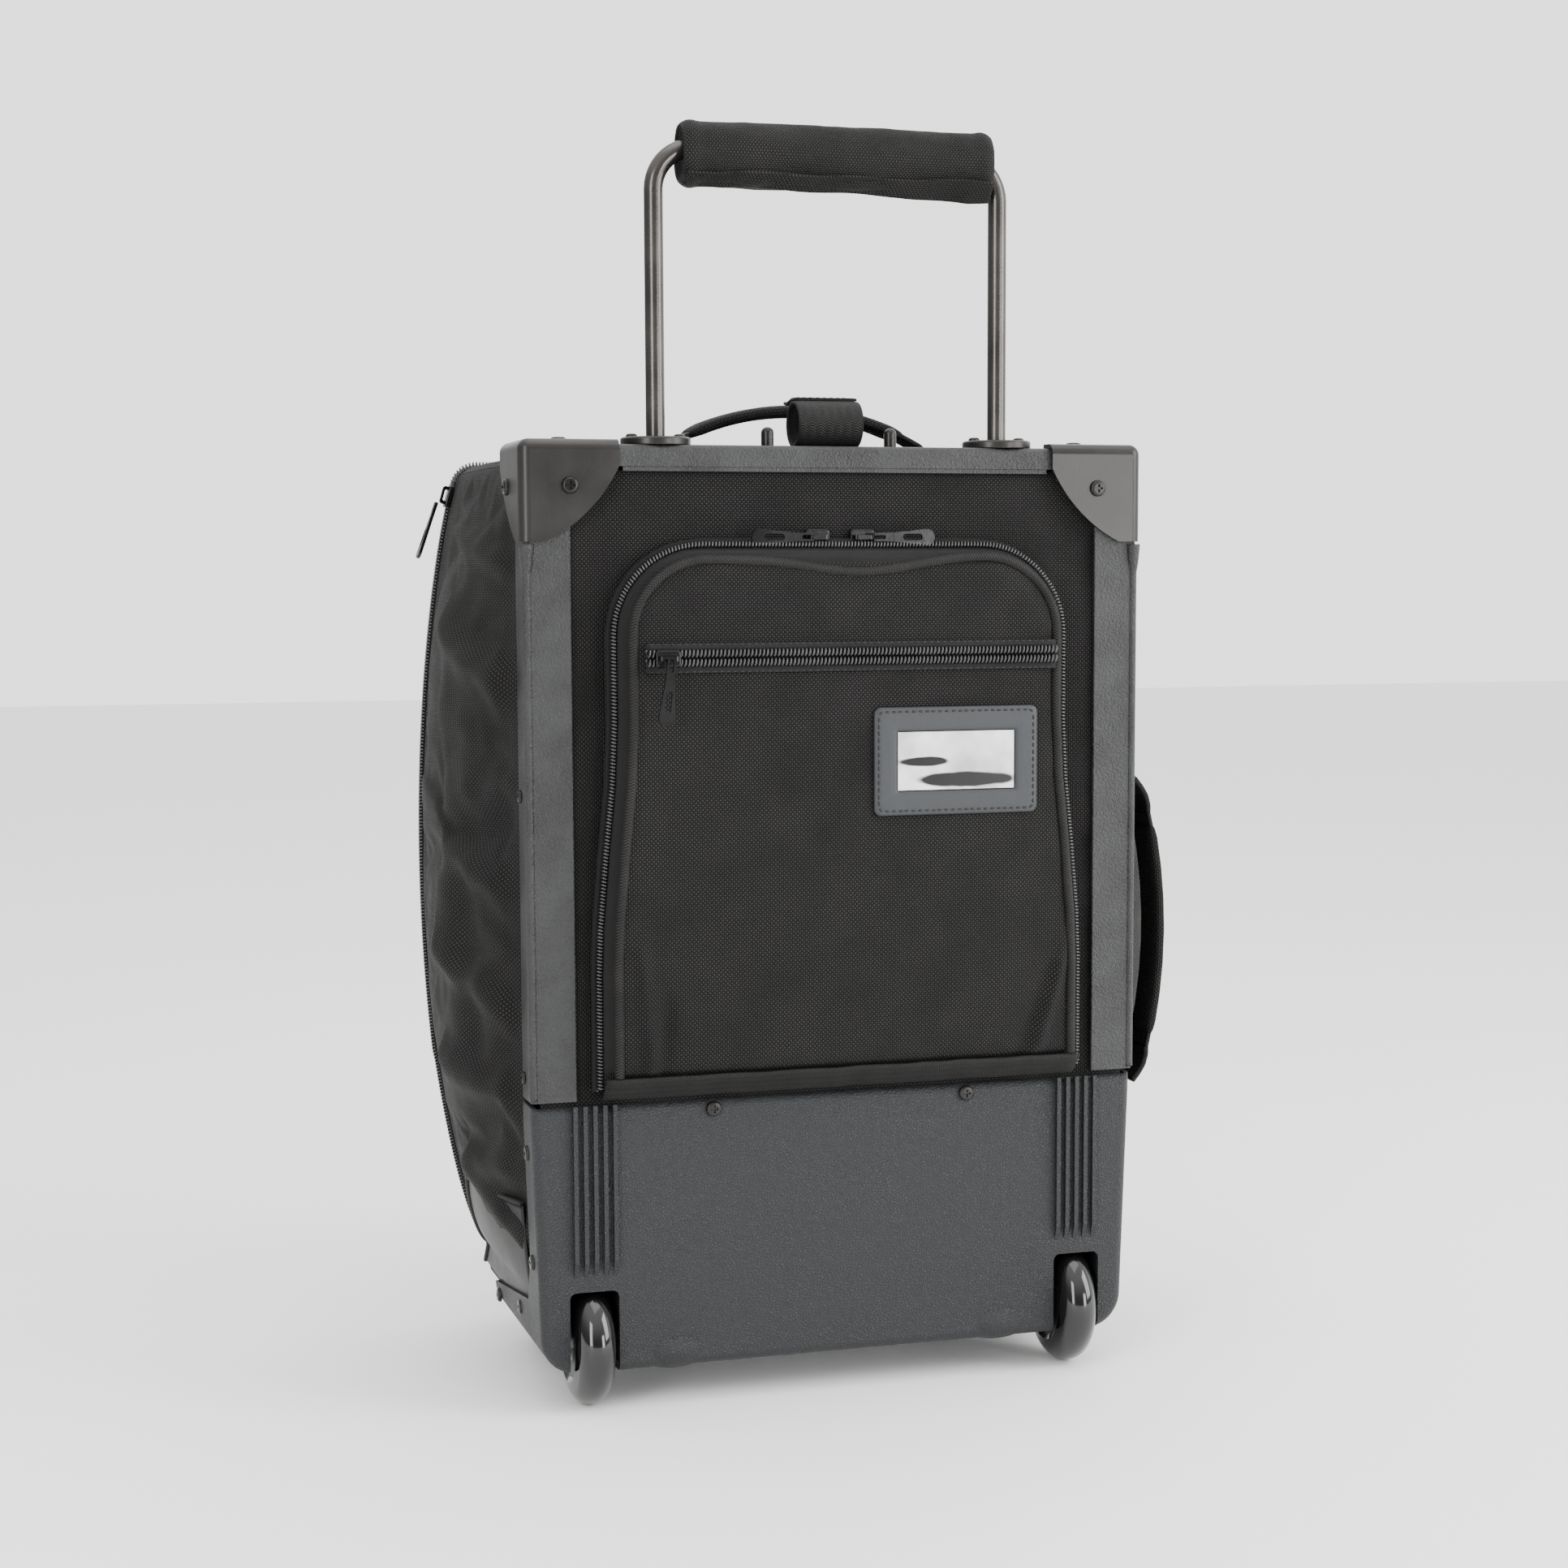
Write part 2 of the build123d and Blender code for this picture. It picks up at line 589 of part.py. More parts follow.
with BuildPart() as rear_board:
    with Locations((0, board_y, hem_bottom)):
        Box(2 * tuck(hem_bottom) - 9, 2.5, guide_top - hem_bottom - 2,
            align=(Align.CENTER, Align.MIN, Align.MIN))
    cut_wheel_notches()
rear_board.part.label = "rear_board"
export_step(rear_board.part, "parts/rear_board.step")

bottom_curve = 28.0
floor_half = tuck(body_bottom) - fabric - 1.1
with BuildPart() as bottom_panel:
    with BuildSketch(Plane.YZ.offset(-floor_half)):
        with BuildLine():
            front = body_zip_y
            Polyline((front - fabric, body_bottom + bottom_curve), (front, body_bottom + bottom_curve))
            RadiusArc((front, body_bottom + bottom_curve), (front - bottom_curve, body_bottom), bottom_curve)
            Polyline((front - bottom_curve, body_bottom), (frame_rear + tray_wall + 0.2, body_bottom),
                     (frame_rear + tray_wall + 0.2, body_bottom + fabric), (front - bottom_curve, body_bottom + fabric))
            RadiusArc((front - bottom_curve, body_bottom + fabric), (front - fabric, body_bottom + bottom_curve),
                      -(bottom_curve - fabric))
        make_face()
    extrude(amount=2 * floor_half)
    cut_wheel_notches()
bottom_panel.part.label = "bottom_panel"
export_step(bottom_panel.part, "parts/bottom_panel.step")

with BuildPart() as base_board:
    with Locations((0, board_y + 3, body_bottom + fabric + 0.1)):
        Box(2 * floor_half - 2, front - bottom_curve - board_y - 3, 2.0,
            align=(Align.CENTER, Align.MIN, Align.MIN))
    cut_wheel_notches()
base_board.part.label = "base_board"
export_step(base_board.part, "parts/base_board.step")

with BuildPart() as top_panel:
    bar_front = frame_rear + bar_depth + 0.1
    with Locations((0, bar_front, body_top)):
        Box(2 * body_half - 8, body_zip_y - bar_front, fabric, align=(Align.CENTER, Align.MIN, Align.MAX))
top_panel.part.label = "top_panel"
export_step(top_panel.part, "parts/top_panel.step")

side_levels = [body_bottom + 5, 60.0, 85.0, 125.0, 175.0, 290.0, 400.0, 480.0, body_top - fabric - 0.2]
for side, s in SIDES:
    with BuildPart() as side_panel:
        for z in side_levels:
            root = tuck(z) - 0.4
            middle = root + 0.1 + swell(z, side_bulge)
            ahead = root + swell(z, zip_swell)
            back_y = frame_rear + upright_flange + 1.2
            with BuildSketch(Plane.XY.offset(z)):
                with BuildLine():
                    ThreePointArc((s * root, back_y), (s * middle, 8), (s * ahead, body_zip_y))
                    Line((s * ahead, body_zip_y), (s * (ahead - fabric), body_zip_y))
                    ThreePointArc((s * (ahead - fabric), body_zip_y), (s * (middle - fabric), 8),
                                  (s * (root - fabric), back_y))
                    Line((s * (root - fabric), back_y), (s * root, back_y))
                make_face()
        loft(ruled=True)
        # a straight hem behind the frame's side flange
        with Locations((s * (body_half - 0.4), back_y, tray_top + 2)):
            Box(fabric, back_y - frame_rear - upright_sheet - fabric - 0.4, bar_low - 2 - tray_top,
                align=(Align.MAX if s > 0 else Align.MIN, Align.MAX, Align.MIN))
        with Locations((s * frame_half, frame_rear, bar_low - 0.2)):
            Box(60, 2 * (bar_depth + 0.2), 40, align=(Align.CENTER, Align.CENTER, Align.MIN), mode=Mode.SUBTRACT)
    side_panel.part.label = f"{side}_panel"
    export_step(side_panel.part, f"parts/{side}_panel.step")


def front_outline(inset, low):
    """Outline of the lid and main zip seen from the front: swelling sides, flat top and bottom."""
    levels = [low + (body_top - inset - low) * i / 8 for i in range(9)]
    right = [(tuck(z) - 0.4 + swell(z, zip_swell) - inset, z) for z in levels]
    with BuildSketch() as outline:
        with BuildLine():
            Spline(right)
            Polyline(right[-1], (-right[-1][0], levels[-1]))
            Spline([(-x, z) for x, z in reversed(right)])
            Polyline((-right[0][0], low), right[0])
        make_face()
        fillet(outline.vertices().group_by(Axis.Y)[-1], 14 - inset)
    return outline.sketch


with BuildPart() as main_zip:
    with BuildSketch(Plane.XZ.offset(-body_zip_y - 0.1)):
        add(front_outline(0, lid_bottom))
        add(front_outline(fabric, lid_bottom - 5), mode=Mode.SUBTRACT)
    extrude(amount=-(lid_back_y - body_zip_y - 0.5))
main_zip.part.label = "main_zip"
export_step(main_zip.part, "parts/main_zip.step")

lid_step = 9.0                # depth of the lid's straight border, before its front rounds over
with BuildPart() as lid_shell:
    for inset, mode in ((0.0, Mode.ADD), (fabric, Mode.SUBTRACT)):
        with BuildSketch(Plane.XZ.offset(-lid_back_y)):
            add(front_outline(inset, lid_bottom + inset))
        extrude(amount=-lid_step, mode=mode)
        with BuildSketch(Plane.XZ.offset(-lid_back_y - lid_step)):
            add(front_outline(inset, lid_bottom + inset))
        with BuildSketch(Plane.XZ.offset(-lid_front_y + inset)):
            add(front_outline(lid_step + inset, lid_bottom + lid_step + inset))
        loft(ruled=True, mode=mode)

with BuildPart() as lid_panel:
    add(lid_shell.part)
    split(bisect_by=Plane.XZ.offset(-lid_back_y - 6), keep=Keep.BOTTOM)
lid_panel.part.label = "lid_panel"
export_step(lid_panel.part, "parts/lid_panel.step")

with BuildPart() as lid_border:
    add(lid_shell.part)
    split(bisect_by=Plane.XZ.offset(-lid_back_y - 5.95), keep=Keep.TOP)
lid_border.part.label = "lid_border"
export_step(lid_border.part, "parts/lid_border.step")


def zip_slider(length, width, height):
    """A zip slider on z = 0, pointing along +X, with its bridge on top."""
    with BuildPart() as one:
        Box(length, width, height * 0.45, align=(Align.CENTER, Align.CENTER, Align.MIN))
        fillet(one.edges().filter_by(Axis.Z), width * 0.22)
        fillet(one.edges().group_by(Axis.Z)[-1], height * 0.14)
        with BuildSketch(Plane.XZ.offset(-width * 0.14)):
            with Locations((0, height * 0.45)):
                RectangleRounded(length * 0.78, height * 1.1, height * 0.28)
                RectangleRounded(length * 0.48, height * 0.6, height * 0.15, mode=Mode.SUBTRACT)
        extrude(amount=width * 0.28)
        with Locations((0, 0, 0)):
            Box(length * 2, width * 2, height * 2, align=(Align.CENTER, Align.CENTER, Align.MAX), mode=Mode.SUBTRACT)
    return one.part


def zip_pull(length, width, thick, eye_gap):
    """A pull tab on z = 0: its eye is at the origin and its body lies along +X."""
    with BuildPart() as one:
        with BuildSketch():
            with BuildLine():
                Polyline((-eye_gap, width * 0.26), (-eye_gap, -width * 0.26), (length * 0.30, -width * 0.28),
                         (length - width / 2, -width / 2))
                ThreePointArc((length - width / 2, -width / 2), (length, 0), (length - width / 2, width / 2))
                Polyline((length - width / 2, width / 2), (length * 0.30, width * 0.28), (-eye_gap, width * 0.26))
            make_face()
            with Locations((length * 0.62, 0)):
                SlotOverall(length * 0.34, width * 0.4, mode=Mode.SUBTRACT)
            with Locations((length * 0.05, 0)):
                RectangleRounded(length * 0.2, width * 0.26, width * 0.1, mode=Mode.SUBTRACT)
        extrude(amount=thick)
    return one.part


slider_length, slider_width, slider_height = 14.0, 9.0, 6.0
pull_length, pull_width, pull_thick = 34.0, 9.0, 1.8
slider_part = zip_slider(slider_length, slider_width, slider_height)
pull_part = zip_pull(pull_length, pull_width, pull_thick, 1.5)

# Main zip's slider rests at the top of the left side, and its pull hangs over the swelling side.
main_z = 512.0
main_x = -(tuck(main_z) + swell(main_z, zip_swell) + 0.6)
with BuildPart() as main_slider:
    add(Plane(origin=(main_x, body_zip_y + 2, main_z), x_dir=(0.3, 0, 1), z_dir=(-1, 0, 0.3)).location * slider_part)
main_slider.part.label = "main_slider"
export_step(main_slider.part, "parts/main_slider.step")

pull_x = main_x - slider_height - 2.4
pull_z = main_z - 5.0
with BuildPart() as main_pull:
    add(Plane(origin=(pull_x, body_zip_y + 2, pull_z), x_dir=(-0.36, 0, -1), z_dir=(-1, 0, 0.36)).location * pull_part)
main_pull.part.label = "main_pull"
export_step(main_pull.part, "parts/main_pull.step")

# ---- rear pocket --------------------------------------------------------------------


def pocket_outline(inset):
    """Outline of the rear pocket: round upper corners, sides a little wider at the bottom."""
    top, low = pocket_top - inset, pocket_bottom + inset
    wide_top, wide_low = pocket_half_top - inset, pocket_half_low - inset
    with BuildSketch() as outline:
        with BuildLine():
            FilletPolyline(
                (0, top), (wide_top, top), (wide_top, top - 95), (wide_low, low + 80), (wide_low, low), (0, low),
                radius=(pocket_corner - inset, 60, 60, 8 - inset),
            )
            Line((0, low), (0, top))
        make_face()
        mirror(about=Plane.YZ)
    return outline.sketch


pocket_wall = 2.0
pocket_back_y = frame_rear + upright_sheet
with BuildPart() as pocket_border:
    with BuildSketch(Plane.XZ.offset(-pocket_seam_y)):
        add(pocket_outline(0))
        add(pocket_outline(pocket_wall), mode=Mode.SUBTRACT)
    extrude(amount=-(pocket_back_y - pocket_seam_y))
pocket_border.part.label = "pocket_border"
export_step(pocket_border.part, "parts/pocket_border.step")

flap_back_y = pocket_seam_y - 0.5
with BuildPart() as pocket_flap:
    with BuildSketch(Plane.XZ.offset(-flap_back_y)):
        add(pocket_outline(0))
    extrude(amount=flap_back_y - pocket_front_y)
    fillet(pocket_flap.edges().group_by(Axis.Y)[0], 5)
    with BuildSketch(Plane.XZ.offset(-flap_back_y)):
        add(pocket_outline(pocket_wall))
    extrude(amount=flap_back_y - pocket_front_y - pocket_wall, mode=Mode.SUBTRACT)
pocket_flap.part.label = "pocket_flap"
export_step(pocket_flap.part, "parts/pocket_flap.step")

# The two sliders of the pocket's zip meet over its middle, and their pulls lie apart.
seam_slider_z = pocket_top + slider_width / 2 + 1.4
for side, s in SIDES:
    x = s * 13.0
    with BuildPart() as seam_slider:
        add(Plane(origin=(x, pocket_back_y - 0.5, seam_slider_z), x_dir=(-s, 0, 0), z_dir=(0, -1, 0)).location
            * slider_part)
    seam_slider.part.label = f"{side}_pocket_slider"
    export_step(seam_slider.part, f"parts/{side}_pocket_slider.step")

    with BuildPart() as seam_pull:
        add(Plane(origin=(x + s * 6, pocket_back_y - 0.5 - slider_height - 1.9, seam_slider_z),
                  x_dir=(s, 0, 0), z_dir=(0, -1, 0)).location * pull_part)
    seam_pull.part.label = f"{side}_pocket_pull"
    export_step(seam_pull.part, f"parts/{side}_pocket_pull.step")

tape_width, tape_thick, coil_width = 16.0, 0.9, 6.5
with BuildPart() as cross_zip:
    with Locations(((cross_zip_left + cross_zip_right) / 2, pocket_front_y - 0.1, cross_zip_z)):
        Box(cross_zip_right - cross_zip_left, tape_thick, tape_width, align=(Align.CENTER, Align.MAX, Align.CENTER))
        Box(cross_zip_right - cross_zip_left, tape_thick + 1.3, coil_width,
            align=(Align.CENTER, Align.MAX, Align.CENTER))
cross_zip.part.label = "cross_zip"
export_step(cross_zip.part, "parts/cross_zip.step")

cross_slider_x = -104.0
cross_y = pocket_front_y - 0.1 - tape_thick - 1.3 - gap
with BuildPart() as cross_slider:
    add(Plane(origin=(cross_slider_x, cross_y, cross_zip_z), x_dir=(-1, 0, 0), z_dir=(0, -1, 0)).location * slider_part)
cross_slider.part.label = "cross_slider"
export_step(cross_slider.part, "parts/cross_slider.step")

with BuildPart() as cross_pull:
    add(Plane(origin=(cross_slider_x, cross_y - slider_height - 1.9, cross_zip_z - 2.0),
              x_dir=(-0.1, 0, -1), z_dir=(0, -1, 0)).location * pull_part)
cross_pull.part.label = "cross_pull"
export_step(cross_pull.part, "parts/cross_pull.step")

with BuildPart() as id_frame:
    with BuildSketch(Plane.XZ.offset(-pocket_front_y + 0.1)):
        with Locations(((id_left + id_right) / 2, (id_low + id_high) / 2)):
            RectangleRounded(id_right - id_left, id_high - id_low, 4)
            RectangleRounded(id_right - id_left - 2 * id_border, id_high - id_low - 2 * id_border, 1.2,
                             mode=Mode.SUBTRACT)
    extrude(amount=1.8)
id_frame.part.label = "id_frame"
export_step(id_frame.part, "parts/id_frame.step")

with BuildPart() as id_window:
    with Locations(((id_left + id_right) / 2, pocket_front_y - 0.3, (id_low + id_high) / 2)):
        Box(id_right - id_left - 2 * id_border - 1.0, 0.6, id_high - id_low - 2 * id_border - 1.0,
            align=(Align.CENTER, Align.MAX, Align.CENTER))
id_window.part.label = "id_window"
export_step(id_window.part, "parts/id_window.step")

# ---- carry handles and hitch strap --------------------------------------------------
with BuildPart() as carry_handle:
    with BuildSketch(Plane.XZ.offset(-carry_y + carry_width / 2)):
        with BuildLine():
            ThreePointArc((-carry_half, carry_base), (0, carry_base + carry_rise), (carry_half, carry_base))
            Line((carry_half, carry_base), (carry_half - carry_thick, carry_base - carry_thick / 2))
            ThreePointArc((carry_half - carry_thick, carry_base - carry_thick / 2),
                          (0, carry_base + carry_rise - carry_thick),
                          (-carry_half + carry_thick, carry_base - carry_thick / 2))
            Line((-carry_half + carry_thick, carry_base - carry_thick / 2), (-carry_half, carry_base))
        make_face()
    extrude(amount=-carry_width)
    fillet(carry_handle.edges().filter_by(GeomType.CIRCLE), 1.8)
carry_handle.part.label = "carry_handle"
export_step(carry_handle.part, "parts/carry_handle.step")

with BuildPart() as carry_anchors:
    for _, s in SIDES:
        with Locations((s * (carry_half + gap), carry_y, body_top)):
            Box(3.0, carry_width, carry_base - body_top - 1.0,
                align=(Align.MIN if s > 0 else Align.MAX, Align.CENTER, Align.MIN))
        with Locations((s * (carry_half + gap), carry_y, body_top)):
            Box(18.0, carry_width, 2.4, align=(Align.MIN if s > 0 else Align.MAX, Align.CENTER, Align.MIN))
carry_anchors.part.label = "carry_anchors"
export_step(carry_anchors.part, "parts/carry_anchors.step")

side_low, side_high = side_handle_z - side_handle_half, side_handle_z + side_handle_half
with BuildPart() as side_handle:
    with BuildSketch(Plane.XZ.offset(-side_handle_y + side_handle_width / 2)):
        with BuildLine():
            outer_x = side_handle_x + side_handle_thick
            ThreePointArc((outer_x, side_low), (outer_x + side_handle_rise, side_handle_z), (outer_x, side_high))
            Line((outer_x, side_high), (side_handle_x, side_high))
            ThreePointArc((side_handle_x, side_high), (side_handle_x + side_handle_rise, side_handle_z),
                          (side_handle_x, side_low))
            Line((side_handle_x, side_low), (outer_x, side_low))
        make_face()
    extrude(amount=-side_handle_width)
    fillet(side_handle.edges().filter_by(GeomType.CIRCLE), 2.5)
side_handle.part.label = "side_handle"
export_step(side_handle.part, "parts/side_handle.step")

with BuildPart() as side_anchors:
    for z, way in ((side_low, Align.MAX), (side_high, Align.MIN)):
        with Locations((side_handle_x - 0.5, side_handle_y, z + (-gap if way == Align.MAX else gap))):
            Box(5, side_handle_width, 16, align=(Align.MIN, Align.CENTER, way))
side_anchors.part.label = "side_anchors"
export_step(side_anchors.part, "parts/side_anchors.step")

strap_outer_y, strap_outer_z = 27.0, 26.5
with BuildPart() as hitch_strap:
    with BuildSketch(Plane.YZ.offset(-strap_width / 2 + 1)):
        with Locations((rod_y + 11, frame_top + 0.2 + strap_outer_z / 2)):
            Ellipse(strap_outer_y / 2, strap_outer_z / 2)
            Ellipse(strap_outer_y / 2 - strap_thick, strap_outer_z / 2 - strap_thick, mode=Mode.SUBTRACT)
    extrude(amount=strap_width)
hitch_strap.part.label = "hitch_strap"
export_step(hitch_strap.part, "parts/hitch_strap.step")
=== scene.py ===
import math

import bpy
import numpy as np
from mathutils import Matrix, Vector, noise


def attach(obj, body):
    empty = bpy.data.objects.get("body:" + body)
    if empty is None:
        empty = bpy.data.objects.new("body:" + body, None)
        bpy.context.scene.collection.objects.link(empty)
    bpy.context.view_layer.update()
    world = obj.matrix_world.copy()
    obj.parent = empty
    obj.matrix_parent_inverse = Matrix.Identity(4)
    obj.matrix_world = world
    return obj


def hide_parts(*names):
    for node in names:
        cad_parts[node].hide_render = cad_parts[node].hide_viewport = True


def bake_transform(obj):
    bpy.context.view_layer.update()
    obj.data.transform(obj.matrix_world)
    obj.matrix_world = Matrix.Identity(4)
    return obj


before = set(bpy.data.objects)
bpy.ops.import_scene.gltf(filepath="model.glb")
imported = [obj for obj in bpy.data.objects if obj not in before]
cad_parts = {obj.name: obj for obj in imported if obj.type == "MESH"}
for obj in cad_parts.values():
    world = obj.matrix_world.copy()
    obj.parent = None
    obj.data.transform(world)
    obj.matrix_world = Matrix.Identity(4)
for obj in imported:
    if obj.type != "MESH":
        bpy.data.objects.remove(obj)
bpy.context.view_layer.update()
SIDES = (("left", -1), ("right", 1))
MM = 0.001

# ---- camera ---------------------------------------------------------------------------
YAW, PITCH, ROLL = 0.2919, 0.101, -0.0043
camera = bpy.data.objects.new("camera", bpy.data.cameras.new("camera"))
bpy.context.scene.collection.objects.link(camera)
bpy.context.scene.camera = camera
right = Vector((math.cos(YAW), -math.sin(YAW), 0))
ahead = Vector((math.sin(YAW) * math.cos(PITCH), math.cos(YAW) * math.cos(PITCH), -math.sin(PITCH)))
up = right.cross(ahead)
side_axis = right * math.cos(ROLL) + up * math.sin(ROLL)
up_axis = up * math.cos(ROLL) - right * math.sin(ROLL)
camera.matrix_world = Matrix.Translation((-0.4607, -1.5172, 0.4610)) @ Matrix(
    (side_axis, up_axis, -ahead)).transposed().to_4x4()
camera.data.lens, camera.data.sensor_width, camera.data.shift_y = 61.49, 36.0, 0.0435

# ---- dimensions, in millimetres -------------------------------------------------------
FRAME_HALF, BAR_TOP = 178.0, 535.0
TRAY_TOP, TRAY_BOTTOM, TRAY_TAPER, TRAY_HALF, BODY_HALF = 174.0, 22.0, 5.0, 173.4, 174.0
SWELL_LOW, SWELL_HIGH, SIDE_BULGE, ZIP_SWELL = 60.0, 534.0, 36.0, 31.0
BODY_TOP, BACK_Y, ZIP_Y = 530.0, -68.4, 93.8
LID_LOW, LID_EDGE_Y, LID_CROWN = 61.0, 104.0, 13.4
POCKET_TOP, POCKET_LOW, SEAM_Y, FLAP_Y = 479.0, 184.5, -101.0, -111.0
ROD_Y, GRIP_Z = -75.0, 693.5
PANEL_LOW, PANEL_TOP, ZIP_SET_BACK, HANDLE_SWELL = 37.0, 525.5, 3.8, 18.0
GUARD_LOW, GUARD_TOP, BEAD_LOW, BEAD_TOP = 44.0, 112.0, 178.0, 481.0
BOTTOM_HALF, BOTTOM_Z, BOTTOM_BEND = 164.0, 32.2, 27.8
REAR_Y, REAR_TOP, REAR_WING_TOP = -92.0, 520.4, 522.8
NOTCH_X, NOTCH_TOP, NOTCH_Y = 123.5, 79.5, -30.0
CROSS_Z = 419.5
ID_X, ID_Z, ID_HALF, SEAM_INSET = 62.5, 360.75, (48.5, 30.25), 2.6
GRIP_LEFT, GRIP_RIGHT, GRIP_DEPTH, GRIP_HEIGHT = -86.0, 95.0, 12.4, 17.2
CARRY_Y, CARRY_HALF, CARRY_BASE, CARRY_RISE = -5.0, 76.0, 542.0, 20.0
SIDE_Y, SIDE_Z, SIDE_LENGTH, SIDE_RISE, SIDE_INNER = -45.0, 252.0, 72.0, 8.5, 201.5
STITCH, STITCH_GAP, TURN_POINTS, CLOTH_FRAMES = 2.6, 1.3, 10, 18


# ---- materials ------------------------------------------------------------------------
class Nodes:
    """A small builder for one material's node tree."""

    def __init__(self, name):
        self.mat = bpy.data.materials.new(name)
        self.mat.use_nodes = True
        self.tree = self.mat.node_tree
        self.shader = self.tree.nodes["Principled BSDF"]

    def add(self, kind, inputs=None, **settings):
        node = self.tree.nodes.new("ShaderNode" + kind)
        for key, value in settings.items():
            setattr(node, key, value)
        for key, value in (inputs or {}).items():
            self.put(node.inputs[key], value)
        return node

    def put(self, socket, value):
        if isinstance(value, bpy.types.NodeSocket):
            self.tree.links.new(value, socket)
        else:
            socket.default_value = value

    def math(self, op, a, b=0.0):
        return self.add("Math", {0: a, 1: b}, operation=op).outputs[0]

    def mix(self, share, a, b):
        node = self.add("Mix", {0: share, 6: a, 7: b}, data_type="RGBA")
        return node.outputs[2]

    def place(self, scale):
        """Object coordinates in metres times scale."""
        where = self.add("TexCoord").outputs["Object"]
        return self.add("VectorMath", {0: where, 1: (scale, scale, scale)}, operation="MULTIPLY").outputs[0]

    def cloth_place(self, scale):
        """Coordinates that lie in the cloth, in metres, times scale."""
        where = self.add("UVMap", uv_map="cloth").outputs[0]
        return self.add("VectorMath", {0: where, 1: (scale, scale, 1)}, operation="MULTIPLY").outputs[0]

    def noise(self, scale, detail=3.0, rough=0.5):
        return self.add("TexNoise", {"Vector": self.place(1.0), "Scale": scale, "Detail": detail,
                                     "Roughness": rough}).outputs[0]

    def ramp(self, value, low, high, to_low=0.0, to_high=1.0):
        return self.add("MapRange", {0: value, 1: low, 2: high, 3: to_low, 4: to_high}).outputs[0]

    def bump(self, height, distance, strength=1.0, normal=None):
        node = self.add("Bump", {"Height": height, "Distance": distance, "Strength": strength})
        if normal is not None:
            self.put(node.inputs["Normal"], normal)
        self.put(self.shader.inputs["Normal"], node.outputs[0])
        return node.outputs[0]

    def set(self, **values):
        for key, value in values.items():
            self.put(self.shader.inputs[key.replace("_", " ")], value)
        return self.mat


def grey(value, tint=(1.0, 1.0, 1.0)):
    return (value * tint[0], value * tint[1], value * tint[2], 1.0)


def painted(name, dark, light, metallic, low_rough, high_rough, grain, depth, coat=0.0, level=0.4):
    """Painted or moulded hard surface: cloudy colour and gloss, and a fine bumpy grain."""
    m = Nodes(name)
    cloud = m.noise(38.0, 4.0)
    fine = m.noise(grain, 2.0)
    m.set(Base_Color=m.mix(m.ramp(cloud, 0.35, 0.65), dark, light), Metallic=metallic,
          Roughness=m.ramp(cloud, 0.3, 0.7, low_rough, high_rough), Coat_Weight=coat,
          Specular_IOR_Level=level)
    m.bump(fine, depth)
    return m.mat


def pebbled(name, dark, light, cell, depth, rough):
    """Leather-like pebble grain: raised cells with painted shade in the creases between them."""
    m = Nodes(name)
    warp = m.add("TexNoise", {"Vector": m.place(1.0), "Scale": cell * 0.5, "Detail": 2.0}).outputs[1]
    nudge = m.add("VectorMath", {0: warp, 1: (0.0011,) * 3}, operation="MULTIPLY").outputs[0]
    where = m.add("VectorMath", {0: m.place(1.0), 1: nudge}, operation="ADD").outputs[0]
    edge = m.add("TexVoronoi", {"Vector": where, "Scale": cell}, feature="DISTANCE_TO_EDGE").outputs[0]
    pebble = m.ramp(edge, 0.0, 0.32)
    cloud = m.noise(22.0, 4.0)
    # painted shade: the creases between pebbles are painted darker, times a random cloud
    shade_and_tone = m.math("MULTIPLY", m.ramp(pebble, 0.0, 1.0, 0.55, 1.0), m.ramp(cloud, 0.3, 0.7, 0.75, 1.0))
    m.set(Base_Color=m.mix(shade_and_tone, dark, light), Roughness=m.ramp(cloud, 0.3, 0.7, rough, rough + 0.1))
    m.set(Specular_IOR_Level=0.35)
    first = m.bump(m.math("POWER", pebble, 0.6), depth)
    m.bump(m.noise(2600.0, 2.0), depth * 0.25, 0.6, first)
    return m.mat


def woven(name, dark, light, thread, depth=0.00035, sheen=0.02, rough=0.6):
    """Basket weave of thick yarn: crowns across and along in turn, with painted shade in the pin holes
    between them and one direction of yarn painted darker than the other.
    """
    m = Nodes(name)
    where = m.cloth_place(1 / thread)
    split = m.add("SeparateXYZ", {0: where})
    across = m.math("ABSOLUTE", m.math("SINE", m.math("MULTIPLY", split.outputs[0], math.pi)))
    along = m.math("ABSOLUTE", m.math("SINE", m.math("MULTIPLY", split.outputs[1], math.pi)))
    turn = m.add("TexChecker", {"Vector": where, "Scale": 1.0}).outputs[1]
    over = m.math("MULTIPLY", m.math("POWER", across, 0.5), m.math("POWER", along, 0.5))
    other = m.math("SUBTRACT", 1.0, turn)
    crown = m.math("ADD", m.math("MULTIPLY", turn, across), m.math("MULTIPLY", other, along))
    height = m.math("MULTIPLY", over, m.math("ADD", 0.55, m.math("MULTIPLY", crown, 0.45)))
    cloud = m.noise(30.0, 5.0, 0.6)
    fuzz = m.noise(1500.0, 2.0)
    # painted shade: colour darkens with the weave's height into the pin holes and low yarn, times a random
    # cloud
    shade_and_tone = m.math("MULTIPLY", m.ramp(height, 0.15, 1.0), m.ramp(m.math("ADD", cloud, m.math(
        "MULTIPLY", fuzz, 0.35)), 0.45, 0.85, 0.45, 1.0))
    # painted light and shade: checker cells where the yarn runs along are painted far darker than cells where
    # it runs across
    shade_and_tone = m.math("MULTIPLY", shade_and_tone, m.ramp(turn, 0.0, 1.0, 0.12, 1.0))
    m.set(Base_Color=m.mix(shade_and_tone, dark, light), Roughness=m.ramp(height, 0.0, 1.0, rough + 0.12, rough),
          Sheen_Weight=sheen, Sheen_Roughness=0.45, Specular_IOR_Level=0.16)
    m.bump(height, depth)
    return m.mat


